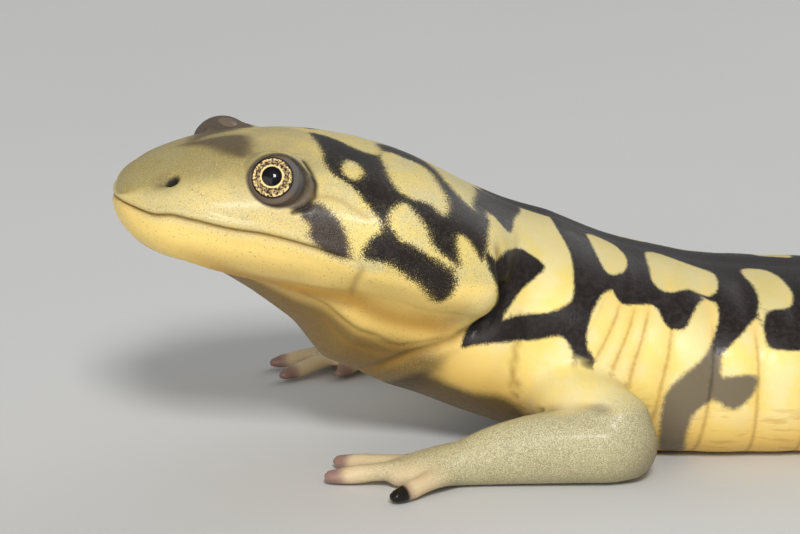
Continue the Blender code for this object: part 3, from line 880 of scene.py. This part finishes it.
def inside(station, turn, path, reach=EDGE_REACH):
    """Signed distance in millimetres inside a smooth closed outline, clipped at reach."""
    knots = np.array(path, float) * (1.0, MM_PER_DEGREE)
    before, after, later = (np.roll(knots, -k, axis=0) for k in (-1, 1, 2))
    steps = np.linspace(0, 1, 5)[:-1, None, None]
    line = 0.5 * (
        2 * knots + (after - before) * steps + (2 * before - 5 * knots + 4 * after - later) * steps ** 2
        + (3 * knots - before - 3 * after + later) * steps ** 3
    )
    line = line.transpose(1, 0, 2).reshape(-1, 2)
    spots = np.stack([station, turn * MM_PER_DEGREE], 1)
    found = np.full(len(spots), -reach)
    close = np.all((spots > line.min(0) - reach) & (spots < line.max(0) + reach), axis=1)
    here = spots[close]
    nearest = np.full(len(here), reach)
    crossings = np.zeros(len(here), int)
    for start, end in zip(line, np.roll(line, -1, axis=0)):
        step = end - start
        t = np.clip((here - start) @ step / max(step @ step, 1e-9), 0.0, 1.0)
        nearest = np.minimum(nearest, np.linalg.norm(here - start - t[:, None] * step, axis=1))
        spans = (start[1] > here[:, 1]) != (end[1] > here[:, 1])
        at = start[0] + (here[:, 1] - start[1]) * step[0] / (step[1] if step[1] else 1e-9)
        crossings += spans & (here[:, 0] < at)
    found[close] = np.where(crossings % 2 == 1, nearest, -nearest)
    return found


def markings(station, turn):
    """Fields of the dark, stain and smudge markings, and of the painted shadow under the breast (shade):
    millimetres inside their edges.
    """
    turn = np.degrees(turn)
    fields = {kind: np.full(len(station), -EDGE_REACH) for kind in ("dark", "stain", "smudge", "shade")}
    head = HEAD_MARKS + NECK_MARKS[:2]
    shades = tuple(mark for mark in NECK_MARKS if mark[0] == "shade")
    for kind, path in (*species_marks(), *far_side(head + shades), *head, *NECK_MARKS[2:]):
        depth = inside(station, turn, path)
        if kind == "pale":
            fields["dark"] = np.minimum(fields["dark"], -depth)
        else:
            fields[kind] = np.maximum(fields[kind], depth)
    return fields


# ---------------------------------------------------------------- what the skin's colours follow

# Creases of the near fore limb, where the forearm folds against the upper arm and at the wrist:
# how deep, how wide, and the path as x, y, z.
ARM_CREASES = (
    (0.42, 0.34, (
        (10.8, -7.9, 4.9), (12.0, -10.0, 5.7), (14.2, -10.9, 6.2), (15.6, -11.5, 6.4), (17.0, -12.0, 6.3),
    )),
    (0.16, 0.26, ((7.4, -11.9, 4.1), (8.2, -12.8, 3.6), (9.0, -13.1, 2.9))),
)
# Height of the near elbow's fold along the body: the skin below it is the forearm's.
ARM_FOLD = ((8.0, 4.9), (10.8, 4.9), (12.0, 5.7), (14.2, 6.2), (15.6, 6.4), (17.0, 6.3))
OTHER_FOLDS = 4.9  # the other legs' skin below this height is the lower leg's
ELBOWS = ((18.2, -11.6, 3.8), (13.2, 20.4, 2.8), (69.4, -17.6, 3.8), (73.2, 23.8, 3.9))
ELBOW_HEEL = np.array((2.0, 0.0, -1.6))  # from the elbow to its darkest skin


def arm_hollows(points):
    """How deep the near fore limb's creases go at each point."""
    depth = np.zeros(len(points))
    for deep, wide, path in ARM_CREASES:
        gap, share = away(points, np.array(path))
        fading = ease(0.0, 0.15, share) * (1 - ease(0.8, 1.0, share))
        depth = np.maximum(depth, deep * fading * hill(gap, 0.0, wide))
    return depth


def lower_share(points, limb):
    """1 on the lower legs and feet, 0 on the upper legs and the body."""
    share = np.zeros(len(points))
    for name, (upper, lower, _, _) in LIMBS.items():
        palm, toes = foot_joints(name)
        over = away(points, np.array([joint[:3] for joint in upper]), 6.0)[0]
        chains = [np.array([joint[:3] for joint in chain]) for chain in (lower, palm, *toes)]
        under = np.min([away(points, chain, 6.0)[0] for chain in chains], axis=0)
        share = np.maximum(share, ease(-1.0, 2.0, over - under))
    share = np.maximum(share, 1.5 * hill(nearest_rows(points, np.array(ELBOWS))[1], 0.0, 3.5))
    near = (points[:, 1] < -6.0) & (points[:, 0] < 24.0)
    fold = np.where(near, curve(ARM_FOLD, points[:, 0]), OTHER_FOLDS)
    soft = np.where(near, 0.35, 0.7)
    share = np.maximum(share, ease(-1.0, 1.0, (fold - points[:, 2]) / soft))
    return np.minimum(share, 1.0) * limb


def toe_tips(name):
    return [np.array(toe[-1][:3]) for toe in foot_joints(name)[1]]


# Paths along the body, as station and turn in degrees.
# Below THROAT_EDGE the throat is painted dark brown, as painted shadow under the jaw.
THROAT_EDGE = ((4, 150), (8, 143), (14, 139), (18, 131), (22, 131), (26, 125), (30, 118), (34, 130))
JAW_SHADE = (
    (1.5, 136), (6.0, 139), (10.1, 146), (14.1, 142), (18.8, 129), (22.6, 131), (26.0, 125), (28.6, 114),
)
WET_CREASE = ((34.0, 95), (34.9, 102), (35.6, 109))  # the moist crease before the shoulder
DEEP_CREASES = ("behind_cheek", "shoulder", "gular")
# How far the colours spread round the toes' tips, the near hand's black tip and the elbows.
TIP_SPREAD, INKY_SPREAD, ELBOW_SPREAD = 3.8, 1.15, 2.6


def lid_shades(points, flank):
    """Shares of the lids' grey, and of the painted shade lines along their brim and fold."""
    tall, front, rise, share = by_eye(points, flank)
    beside = np.abs(tall - 1.5) < 3.5
    corner = ease(0.6, 2.0, -front) * (1 - ease(0.2, 1.4, rise))
    wide = 1.04 + 0.26 * corner + (0.0 if flank > 0 else 0.35 * ease(0.0, 1.5, rise))
    lid = (1 - ease(wide, wide + 0.12, share)) * beside
    fold = hill(by_lid_fold(front, rise), 0.0, 0.15)
    brim = hill(share, 1.06, 0.05) * ease(-1.2, 0.4, rise)
    return lid, np.maximum(fold, 0.7 * brim) * beside


def nostril_shade(points, flank):
    """Painted shadow: black in the nostril's slanting oval, and grey just before it."""
    step = points - trace((NOSTRIL, NOSTRIL), flank)[0]
    along = step @ HEAD_BACK
    oval = np.hypot(np.linalg.norm(step, axis=1), -0.5 * along) - 0.3 * np.abs(along)
    before = hill(from_spot(points, NOSTRIL_FRONT, flank), 0.0, 0.8)
    return np.maximum(0.98 * (1 - ease(0.36, 0.74, oval)), 0.42 * before)


def rim_shade(points, flank):
    # Painted shade under the jaw's lower edge, orange-brown over the jaw's own orange tone.
    gap, along = away(points, trace(JAW_SHADE, flank))
    return ease(0.0, 0.3, along) * hill(gap, 0.0, 1.2)


def crease_shade(points, flank):
    # Painted shade along the head's creases, strongest in the deep ones.
    shade = np.zeros(len(points))
    for name, (_, wide, path) in CREASES.items():
        gap, _ = away(points, trace(path, flank))
        deep = 0.9 if name in DEEP_CREASES else 0.5
        shade = np.maximum(shade, deep * hill(gap, 0.0, max(wide * 0.8, 0.28)))
    return shade


def on_both(shade, points):
    """A shade of both flanks, whichever is stronger at each point."""
    return np.maximum(shade(points, 1), shade(points, -1))


def head_tints(points, station, turn):
    """Shares of the head's local tints, and of painted shade: on the throat, under the jaw's edge, in the
    creases, in the nostrils and along the lids.
    """
    side = np.abs(np.degrees(turn))
    back, _, up = head_places(points).T
    lid, lid_shade_line = on_both(lid_shades, points)
    # painted shade along the mouth's line
    mouth = 0.8 * hill(up - curve(MOUTH_LINE, back), 0.0, 0.16) * (1 - ease(14.0, 17.2, back))
    crown = (1 - ease(28.0, 74.0, side)) * (1 - ease(13.0, 19.0, station))
    throat = ease(5.0, 20.0, side - curve(THROAT_EDGE, station)) * ease(1.5, 5.0, station)
    return {
        "lid": lid,
        "lid_shade_line": lid_shade_line,
        "rim": on_both(rim_shade, points) * (1 - ease(27.0, 30.0, station)),
        "crown": crown * (1 - 0.5 * ease(7.5, 11.0, station)),
        "crease": np.maximum(mouth, on_both(crease_shade, points)),
        "jaw": ease(0.0, 0.9, curve(MOUTH_LINE, back) - up) * (1 - ease(24.0, 30.0, station)),
        "pit": on_both(nostril_shade, points),
        "throat": throat * (1 - ease(28.0, 34.0, station)),
        "muzzle": 1 - ease(24.0, 34.0, station),
        "nose": 1 - 0.65 * ease(11.0, 17.0, station) - 0.35 * ease(24.0, 34.0, station),
    }


def limb_tints(points, limb):
    """Shares of the legs' local tints."""
    tips = np.array([tip for name in LIMBS for tip in toe_tips(name)])
    return {
        "limb": limb,
        "shank": lower_share(points, limb),
        "tip": hill(nearest_rows(points, tips)[1], 0.0, TIP_SPREAD),
        "inky": hill(np.linalg.norm(points - toe_tips(NEAR_LIMB)[-1], axis=1), 0.0, INKY_SPREAD),
        "elbow": hill(nearest_rows(points, np.array(ELBOWS) + ELBOW_HEEL)[1], 0.0, ELBOW_SPREAD),
    }


def skin_fields(points, station, turn, limb):
    """Every value that the skin's colours follow, for each of its points."""
    side = np.abs(np.degrees(turn))
    fields = markings(station, turn)
    fields.update(head_tints(surface(station, turn), station, turn))
    fields.update(limb_tints(points, limb))
    # painted shade in the creases, off the legs, and in the near arm's folds
    fields["crease"] = np.maximum(fields["crease"] * (1 - limb), 2.2 * arm_hollows(points))
    fields["back"] = (1 - ease(28.0, 78.0, side)) * ease(20.0, 34.0, station)
    fields["under"] = ease(92.0, 150.0, side)
    fields["rib"] = ribs(station, turn)
    fields["rib_step"] = rib_spacing(station)
    fields["rib_clear"] = rib_strength(station, turn) * (1 - limb)
    fields["wet"] = hill(away(points, trace(WET_CREASE))[0], 0.0, 0.7)
    return fields


def keep_fields(data, fields):
    for name, values in fields.items():
        kept = data.attributes.new(name, "FLOAT", "POINT")
        kept.data.foreach_set("value", values.astype(np.float32))


# ---------------------------------------------------------------- materials

class Value:
    """What a shader node gives out. It adds, subtracts and multiplies like a number."""

    def __init__(self, socket):
        self.socket = socket
        self.tree = socket.id_data

    def __add__(self, other):
        return worked_out(self.tree, "ADD", self, other)

    def __sub__(self, other):
        return worked_out(self.tree, "SUBTRACT", self, other)

    def __rsub__(self, other):
        return worked_out(self.tree, "SUBTRACT", other, self)

    def __mul__(self, other):
        return worked_out(self.tree, "MULTIPLY", self, other)


def new_material(name):
    made = bpy.data.materials.new(name)
    made.use_nodes = True
    made.node_tree.nodes.clear()
    return made


def add(tree, kind, sockets=(), **settings):
    """Adds a node: settings are its own properties, and sockets its input values or links."""
    made = tree.nodes.new(kind)
    for name, value in settings.items():
        setattr(made, name, value)
    for name, value in dict(sockets).items():
        if isinstance(value, Value):
            tree.links.new(value.socket, made.inputs[name])
        else:
            made.inputs[name].default_value = value
    return made


def worked_out(tree, operation, one, two):
    return Value(add(tree, "ShaderNodeMath", {0: one, 1: two}, operation=operation).outputs[0])


def field(tree, name):
    return Value(add(tree, "ShaderNodeAttribute", attribute_name=name).outputs["Fac"])


def ramp(value, low, high, start=0.0, end=1.0):
    """Smooth rise from start to end as the value goes from low to high."""
    sockets = {"Value": value, "From Min": low, "From Max": high, "To Min": start, "To Max": end}
    made = add(value.tree, "ShaderNodeMapRange", sockets, interpolation_type="SMOOTHSTEP")
    return Value(made.outputs["Result"])


def mixed(share, one, two):
    """Colour between one and two."""
    first, second = [(*colour, 1.0) if isinstance(colour, tuple) else colour for colour in (one, two)]
    made = add(share.tree, "ShaderNodeMix", data_type="RGBA")
    for socket, value in zip((made.inputs[0], made.inputs[6], made.inputs[7]), (share, first, second)):
        if isinstance(value, Value):
            share.tree.links.new(value.socket, socket)
        else:
            socket.default_value = value
    return Value(made.outputs[2])


def layered(colour, layers):
    """The colour under layers, each of which covers a share of what is below it with its own."""
    for share, over in layers:
        colour = mixed(share, colour, over)
    return colour


def scaled(where, scale):
    return Value(add(where.tree, "ShaderNodeMapping", {"Vector": where, "Scale": scale}).outputs["Vector"])


def millimetres(tree):
    """Object coordinates in millimetres."""
    where = Value(add(tree, "ShaderNodeTexCoord").outputs["Object"])
    return scaled(where, (1 / MM, 1 / MM, 1 / MM))


def grain(where, size, detail=2.0, rough=0.55):
    """Noise with features of about that size in millimetres."""
    sockets = {"Vector": where, "Scale": 1.0 / size, "Detail": detail, "Roughness": rough}
    return Value(add(where.tree, "ShaderNodeTexNoise", sockets).outputs["Fac"])


def bumped(height, strength, depth):
    sockets = {"Height": height, "Strength": strength, "Distance": depth}
    return Value(add(height.tree, "ShaderNodeBump", sockets).outputs["Normal"])


def finished(made, sockets):
    """The material with its surface made from the shader's settings."""
    shader = add(made.node_tree, "ShaderNodeBsdfPrincipled", sockets)
    surface_of = Value(shader.outputs["BSDF"])
    add(made.node_tree, "ShaderNodeOutputMaterial", {"Surface": surface_of})
    return made


# Colours of the skin.
YELLOW = (0.80, 0.62, 0.18)
CREAM = (0.78, 0.66, 0.31)
GOLD = (0.78, 0.52, 0.14)
# Orange-brown painted shade under the jaw's lower edge.
JAW_EDGE_SHADE_ORANGE = (0.42, 0.20, 0.02)
OLIVE = (0.27, 0.195, 0.05)
MUZZLE = (0.62, 0.47, 0.19)
BLACK_BROWN = (0.010, 0.0065, 0.005)
PURPLE_GREY = (0.025, 0.018, 0.016)
JAW_YELLOW = (0.97, 0.70, 0.21)
# Painted shadow on the throat under the jaw.
THROAT_SHADOW_BROWN = (0.21, 0.125, 0.028)
SHADE_BROWN = (0.055, 0.036, 0.016)
# Painted shadow under the breast.
STAIN_BROWN = (0.165, 0.13, 0.08)
LEG_OLIVE = (0.29, 0.25, 0.135)
LEG_SPECK = (0.55, 0.50, 0.30)
HAND_CREAM = (0.62, 0.47, 0.28)
TOE_PURPLE = (0.20, 0.10, 0.095)
ELBOW_BROWN = (0.15, 0.115, 0.075)
BACK_OLIVE = (0.50, 0.42, 0.18)
MOTTLE_GREY = (0.38, 0.345, 0.185)
FRECKLE_BROWN = (0.16, 0.10, 0.04)
SMUDGE_BROWN = (0.085, 0.058, 0.030)
CHEEK_BROWN = (0.095, 0.070, 0.050)
LID_GREY = (0.062, 0.046, 0.036)
LID_BROWN = (0.13, 0.095, 0.066)
# Painted shade in grooves and creases.
GROOVE_SHADE_BROWN = (0.30, 0.165, 0.028)
# Painted shade of fine wrinkles.
WRINKLE_SHADE_GOLD = (0.56, 0.35, 0.075)

GLANDS_PER_MM = 5.2
GLAND_DEPTH = 0.07 * MM  # metres


FIELDS = (
    "dark", "stain", "smudge", "shade", "lid", "lid_shade_line", "rim", "crown", "crease", "jaw", "pit",
    "throat", "muzzle", "nose", "back", "under", "rib", "rib_step", "rib_clear", "limb", "shank", "tip",
    "inky", "elbow", "wet",
)


def skin_values(tree):
    """What the skin's colours follow at each place: its fields, and grains of several sizes."""
    where = millimetres(tree)
    here = {name: field(tree, name) for name in FIELDS}
    here["where"] = where
    here["specks"] = grain(where, 0.09, 2.0, 0.7)
    # painted glints: a grain for tiny cream specks that stand for the wet skin's sparkle
    here["glints"] = grain(where, 0.13, 1.0, 0.8)
    here["dots"] = grain(where, 0.17, 1.0, 0.5)
    here["flecks"] = grain(where, 0.42, 3.0, 0.6)
    here["clouds"] = grain(where, 2.6)
    return here


def wrinkles(here):
    """Painted shade of fine wrinkles along the lower flanks: darker gold streaks, with no wrinkles in the
    shape.
    """
    drawn_out = grain(scaled(here["where"], (0.28, 1.0, 1.7)), 0.9)
    flank = ramp(here["under"], 0.0, 0.3) * ramp(here["rib_clear"], 0.0, 0.3)
    return ramp(drawn_out, 0.5, 0.66, 0.0, 0.6) * flank


def pale_skin(here):
    """Yellow flanks, golden below, olive on the crown, and cream, mottled and dotted cheeks, with painted
    shadow on the throat, painted shade under the jaw's edge and in fine wrinkles, and painted glints on the
    head.
    """
    clouds, specks, head, jaw = here["clouds"], here["specks"], here["muzzle"], here["jaw"]
    glint = ramp(here["glints"], 0.60, 0.70, 0.0, 0.6) * ramp(jaw, 0.0, 1.0, 1.0, 0.1)
    mottle = ramp(specks + clouds * 0.25, 0.54, 0.72, 0.0, 0.62) * ramp(jaw, 0.0, 1.0, 1.0, 0.12)
    dotted = ramp(here["dots"] - jaw * 0.012, 0.66, 0.71, 0.0, 0.5)
    return layered(mixed(ramp(clouds, 0.35, 0.65), YELLOW, CREAM), (
        (here["nose"] * 0.75, MUZZLE),
        (ramp(here["under"] + clouds * 0.3, 0.1, 0.9), GOLD),
        (jaw * 0.8, JAW_YELLOW),
        # painted shadow on the throat
        (here["throat"], THROAT_SHADOW_BROWN),
        (ramp(here["crown"] + (clouds - 0.5) * 0.8, 0.1, 0.95, 0.0, 0.85), OLIVE),
        # painted shade under the jaw's lower edge, over its own orange tone
        (here["rim"] * 0.8, JAW_EDGE_SHADE_ORANGE),
        # painted glints on the head
        (glint * head, CREAM),
        (here["back"] * 0.62, BACK_OLIVE),
        (mottle * head, MOTTLE_GREY),
        (dotted * head, FRECKLE_BROWN),
        # painted shade of fine wrinkles
        (wrinkles(here), WRINKLE_SHADE_GOLD),
    ))


def dark_share(here, edge):
    """How far black covers the skin: it is peppered with pale specks on the head, and off the legs."""
    share = ramp(here["dark"] + edge, -0.2, 0.2)
    peppered = ramp(here["specks"], 0.60, 0.68, 0.0, 0.45) * ramp(here["dark"], 0.2, 1.3, 1.0, 0.12)
    off_limb = ramp(here["limb"] + edge * 0.5, 0.45, 0.8, 1.0, 0.0)
    return share * (1.0 - peppered * here["muzzle"]) * off_limb


def marked_skin(here, pale, edge, dark, stained):
    """The pale skin with its smudges, the painted shadow under the breast, brown-grey stains and black
    markings.
    """
    cheek_stain = mixed(ramp(here["specks"], 0.40, 0.64), PURPLE_GREY, CHEEK_BROWN)
    return layered(pale, (
        (ramp(here["smudge"] + edge, -0.8, 0.6, 0.0, 0.88), SMUDGE_BROWN),
        # painted shadow under the breast, over some brown pigment
        (ramp(here["shade"] + edge, -0.9, 0.7, 0.0, 0.85), SHADE_BROWN),
        (stained, mixed(here["muzzle"], STAIN_BROWN, cheek_stain)),
        (dark, mixed(ramp(here["flecks"], 0.4, 0.72), BLACK_BROWN, PURPLE_GREY)),
    ))


def leg_skin(here, pale):
    """Olive-grey, thickly speckled with pale gold, browner at the elbow and cream on the hands."""
    specks = here["specks"]
    thigh = mixed(ramp(specks, 0.50, 0.64, 0.0, 0.32), pale, LEG_OLIVE)
    return layered(thigh, (
        (here["shank"], mixed(ramp(specks, 0.40, 0.62), LEG_OLIVE, LEG_SPECK)),
        (here["elbow"] * 0.6, ELBOW_BROWN),
        (ramp(here["tip"] + specks * 0.3, 0.2, 0.8, 0.0, 0.85), HAND_CREAM),
    ))


def grooved_skin(here, skin, marked):
    """The skin with painted shade in its grooves and creases: golden in the costal grooves' hollows, darker
    along the grooves and creases.
    """
    clear = here["rib_clear"]
    near = worked_out(skin.tree, "PINGPONG", here["rib"], 0.5) * here["rib_step"]
    # painted shade: golden in the costal grooves' hollows, less on the marks
    hollow = ramp(near, 0.0, 1.0, 0.6, 0.0) * clear * ramp(marked, 0.0, 0.8, 1.0, 0.0)
    skin = mixed(hollow, skin, GOLD)
    groove = ramp(near + here["flecks"] * 0.35, 0.10, 0.50, 0.55, 0.0) * clear
    groove = groove * ramp(here["back"], 0.1, 0.5, 1.0, 0.0) + here["crease"] * 0.75
    # painted shade lines: groove brown on the body, elbow brown on the legs, black on the marks
    line = mixed(here["limb"], GROOVE_SHADE_BROWN, ELBOW_BROWN)
    return mixed(groove, skin, mixed(marked, line, BLACK_BROWN))


def skin_colour(here):
    """Colour of the skin: pale ground, markings, legs and lids, then painted shade in the grooves, nostrils
    and along the lids, one over the other.
    """
    specks = here["specks"]
    edge = (specks - 0.5) * ramp(here["muzzle"], 0.0, 1.0, 0.6, 2.0) + (here["flecks"] - 0.40) * 0.35
    dark = dark_share(here, edge)
    stained = ramp(here["stain"] + edge, -0.30, 0.30)
    pale = pale_skin(here)
    skin = layered(marked_skin(here, pale, edge, dark, stained), (
        (here["limb"], leg_skin(here, pale)),
        (ramp(here["tip"], 0.80, 0.97, 0.0, 0.85), TOE_PURPLE),
        (ramp(here["inky"], 0.3, 0.5), BLACK_BROWN),
        (here["lid"] * 0.92, mixed(ramp(specks, 0.4, 0.66), LID_GREY, LID_BROWN)),
    ))
    return layered(grooved_skin(here, skin, dark + stained), (
        # painted shadow in the nostrils
        (here["pit"], BLACK_BROWN),
        # painted shade lines along the lids' brim and fold
        (here["lid_shade_line"] * 0.9, BLACK_BROWN),
    ))


def skin_material():
    """Yellow and black skin, finely grained with glands, under a thin moist coat."""
    made = new_material("salamander_skin")
    here = skin_values(made.node_tree)
    flecks = here["flecks"]
    sockets = {"Vector": here["where"], "Scale": GLANDS_PER_MM}
    cells = add(made.node_tree, "ShaderNodeTexVoronoi", sockets, feature="SMOOTH_F1")
    glands = Value(cells.outputs["Distance"])
    wet = ramp(here["wet"] + flecks * 0.8, 0.7, 1.1) * 0.34 + ramp(here["tip"], 0.5, 1.0, 0.0, 0.3)
    dry = ramp(flecks, 0.3, 0.7, 0.42, 0.58) + here["pit"] * 0.4
    return finished(made, {
        "Base Color": skin_colour(here), "Roughness": dry - wet,
        "Normal": bumped(glands * 0.6 + flecks * 0.7, 0.35, GLAND_DEPTH),
        "Coat Weight": 0.08, "Coat Roughness": 0.18, "Specular IOR Level": 0.24,
        "Subsurface Weight": 0.06, "Subsurface Scale": 1.2 * MM,
    })


# ---------------------------------------------------------------- eyes

PUPIL, IRIS = 0.76, 1.50  # radii
CORNEA_RISE = 0.14


def eye_piece(flank):
    """A globe with a slightly raised clear front, its pole where the eye looks."""
    centre, out, ahead, above = eye_frame(flank, GAZE)
    mesh = bmesh.new()
    bmesh.ops.create_uvsphere(mesh, u_segments=96, v_segments=96, radius=EYE_RADIUS)
    spots = np.array([vert.co for vert in mesh.verts])
    ring = np.hypot(spots[:, 0], spots[:, 1]) + np.where(spots[:, 2] < 0, 2 * EYE_RADIUS, 0.0)
    rise = CORNEA_RISE * (1 - ease(0.2, 1.75, ring)) + 0.07 * hill(ring, 1.95, 0.12)
    spots = spots * (1 + rise / EYE_RADIUS)[:, None]
    places = centre + spots @ np.stack([ahead, above, out])
    for vert, place in zip(mesh.verts, to_row(places)):
        vert.co = place
    bmesh.ops.recalc_face_normals(mesh, faces=mesh.faces)
    piece = new_object("left_eye" if flank > 0 else "right_eye", mesh)
    keep_fields(piece.data, {
        "ring": ring, "ahead": spots[:, 0], "above": spots[:, 1],
    })
    piece.data.shade_smooth()
    piece.data.materials.append(EYE_FINISH)
    return piece


IRIS_BROWN = (0.030, 0.014, 0.006)
IRIS_GOLD = (0.95, 0.70, 0.32)
GLOBE_BROWN = (0.15, 0.11, 0.078)
GLOBE_BLUE = (0.11, 0.104, 0.10)
PUPIL_BLACK = (0.002, 0.002, 0.003)


def iris_colour(ring, net, soft):
    """Bronze netted with dark brown, between thin gold rings."""
    uneven = ring + (soft - 0.5) * 0.12
    iris = mixed(ramp(net, 0.39, 0.56), IRIS_BROWN, IRIS_GOLD)
    middle = ramp(uneven, 0.86, 0.98) * ramp(uneven, 1.22, 1.38, 1.0, 0.0)
    iris = mixed(middle * ramp(net, 0.40, 0.66, 0.95, 0.35), iris, IRIS_BROWN)
    return mixed(ramp(uneven, PUPIL + 0.06, PUPIL + 0.17, 0.8, 0.0), iris, IRIS_GOLD)


def globe_colour(tree, net):
    """The globe round the iris: brown, and slate blue towards its upper rear."""
    blue = ramp(field(tree, "ahead"), -1.5, -0.5, 1.0, 0.0) * ramp(field(tree, "above"), -1.6, -0.7)
    return mixed(ramp(net, 0.4, 0.7, 0.0, 0.5), mixed(blue, GLOBE_BROWN, GLOBE_BLUE), GLOBE_BROWN)


def eye_material():
    """A black pupil in a bronze iris, with a dark rim to the globe, under a clear wet coat."""
    made = new_material("salamander_eye")
    tree = made.node_tree
    where = millimetres(tree)
    ring = field(tree, "ring")
    net = grain(where, 0.17, 3.0, 0.65)
    eye = layered(iris_colour(ring, net, grain(where, 0.6)), (
        # a thin black ring round the iris: painted shade of the lids' edge over it
        (ramp(ring, IRIS - 0.03, IRIS + 0.03), PUPIL_BLACK),
        (ramp(ring, IRIS + 0.06, IRIS + 0.18), globe_colour(tree, net)),
        (ramp(ring, PUPIL - 0.03, PUPIL + 0.03, 1.0, 0.0), PUPIL_BLACK),
    ))
    return finished(made, {
        "Base Color": eye, "Roughness": ramp(net, 0.3, 0.7, 0.45, 0.6),
        "Normal": bumped(net, 0.25, 0.03 * MM), "Specular IOR Level": 0.06,
        "Coat Weight": 0.5, "Coat Roughness": 0.03, "Coat IOR": 1.38,
    })


# ---------------------------------------------------------------- the salamander

def row_shift():
    """What carries the making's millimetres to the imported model's place."""
    low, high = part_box("eye_left")
    return (np.array(low) + np.array(high)) / 2 / MM - in_head(EYE_BACK, EYE_OUT, EYE_UP)


def to_row(points):
    return (points + SHIFT) * MM


def seam(data, plain):
    """The skin's points, the body's nearest to each, which of them are the body's, and the seam's."""
    points = points_of(data)
    rows, gap = nearest_rows(points, plain)
    on_body = gap < ON_BODY
    here, there = neighbours(data)
    at_seam = np.zeros(len(points), bool)
    at_seam[here] |= on_body[here] != on_body[there]
    return points, rows, on_body, points[at_seam]


def normals_of(data):
    flat = np.empty(len(data.vertices) * 3, np.float32)
    data.vertices.foreach_get("normal", flat)
    return flat.reshape(-1, 3)


def put_points(data, points):
    data.vertices.foreach_set("co", points.astype(np.float32).ravel())
    data.update()


def salamander_skin():
    """The whole skin: body and legs in one surface, softened where they meet."""
    mesh, station, turn = body_skin()
    bmesh.ops.recalc_face_normals(mesh, faces=mesh.faces)
    skin = new_object("skin", mesh)
    plain = points_of(skin.data)
    joined(skin, [limb_piece(name) for name in LIMBS])
    points, _, _, edge = seam(skin.data, plain)
    without_slivers(skin.data, nearest_rows(points, edge)[1] < SEAM_REACH, SLIVER)
    points, rows, on_body, edge = seam(skin.data, plain)
    from_seam = nearest_rows(points, edge)[1]
    limb = ease(*LIMB_FADE, np.where(on_body, -from_seam, from_seam))
    softness = SOFTENING * (1 - ease(*SEAM_SOFT, from_seam))
    points = smoothed(points, neighbours(skin.data), softness, SOFTENING_ROUNDS)
    put_points(skin.data, points)
    points = points - normals_of(skin.data) * arm_hollows(points)[:, None]
    points = rest_on_floor(points)
    keep_fields(skin.data, skin_fields(points, station[rows], turn[rows], limb))
    put_points(skin.data, to_row(points))
    skin.data.shade_smooth()
    skin.data.materials.clear()
    skin.data.materials.append(SKIN_FINISH)
    return skin


SHIFT = row_shift()
SKIN_FINISH = skin_material()
EYE_FINISH = eye_material()
skin = salamander_skin()
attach(skin, "root")
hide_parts(*[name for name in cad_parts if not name.startswith("eye_")])
for flank, node in ((1, "eye_left"), (-1, "eye_right")):
    eye = eye_piece(flank)
    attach(eye, "root")
    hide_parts(node)


# ---------------------------------------------------------------- floor, light and camera

CAMERA_TARGET = np.array((0.0, -13.0, 18.3))
CAMERA_DISTANCE, CAMERA_LIFT = 270.0, 15.0  # millimetres and degrees
LENS = 157.0
LAMPS_FACE = np.array((10.0, -5.0, 10.0))  # the salamander's chest
# Each lamp: its place in millimetres, its side in metres, and watts.
LAMPS = {
    "key": ((120.0, -1260.0, 1050.0), 0.32, 21.0),
    "fill": ((-500.0, -900.0, 160.0), 0.90, 6.5),
    "rim": ((800.0, 820.0, 600.0), 0.90, 4.5),
}
SKY, SKY_STRENGTH = (0.90, 0.93, 0.95, 1.0), 0.32
FLOOR_GREYS = (0.56, 0.555, 0.54), (0.60, 0.595, 0.58)
FLOOR_SIZE = 6.0  # metres, from the middle to each side
FLOOR_CLOUDS = 90.0  # size in millimetres of the floor's faint clouds


def pale_floor():
    mesh = bmesh.new()
    bmesh.ops.create_grid(mesh, x_segments=1, y_segments=1, size=FLOOR_SIZE)
    floor = new_object("floor", mesh)
    made = new_material("pale_floor")
    clouds = grain(millimetres(made.node_tree), FLOOR_CLOUDS)
    colour = mixed(clouds, *FLOOR_GREYS)
    floor.data.materials.append(finished(made, {"Base Color": colour, "Roughness": 0.7}))


def soft_lamp(name, place, size, watts):
    """A square lamp, turned to the salamander."""
    lamp = bpy.data.lights.new(name, "AREA")
    lamp.size = size
    lamp.energy = watts
    made = bpy.data.objects.new(name, lamp)
    made.location = Vector(to_row(np.array(place)))
    aim = Vector(to_row(LAMPS_FACE)) - made.location
    made.rotation_euler = aim.to_track_quat("-Z", "Y").to_euler()
    bpy.context.scene.collection.objects.link(made)


def studio_world():
    world = bpy.data.worlds.new("studio")
    world.use_nodes = True
    back = world.node_tree.nodes["Background"]
    back.inputs["Color"].default_value = SKY
    back.inputs["Strength"].default_value = SKY_STRENGTH
    bpy.context.scene.world = world


def studio_camera():
    lift = math.radians(CAMERA_LIFT)
    back = np.array((0.0, -math.cos(lift), math.sin(lift)))
    lens = bpy.data.cameras.new("camera")
    lens.lens = LENS
    lens.clip_start = 0.01
    made = bpy.data.objects.new("camera", lens)
    made.location = Vector(to_row(CAMERA_TARGET + back * CAMERA_DISTANCE))
    made.rotation_euler = Vector(-back).to_track_quat("-Z", "Y").to_euler()
    bpy.context.scene.collection.objects.link(made)
    bpy.context.scene.camera = made


pale_floor()
for name, (place, size, watts) in LAMPS.items():
    soft_lamp(name, place, size, watts)
studio_world()
studio_camera()
bpy.context.scene.view_settings.view_transform = "Standard"
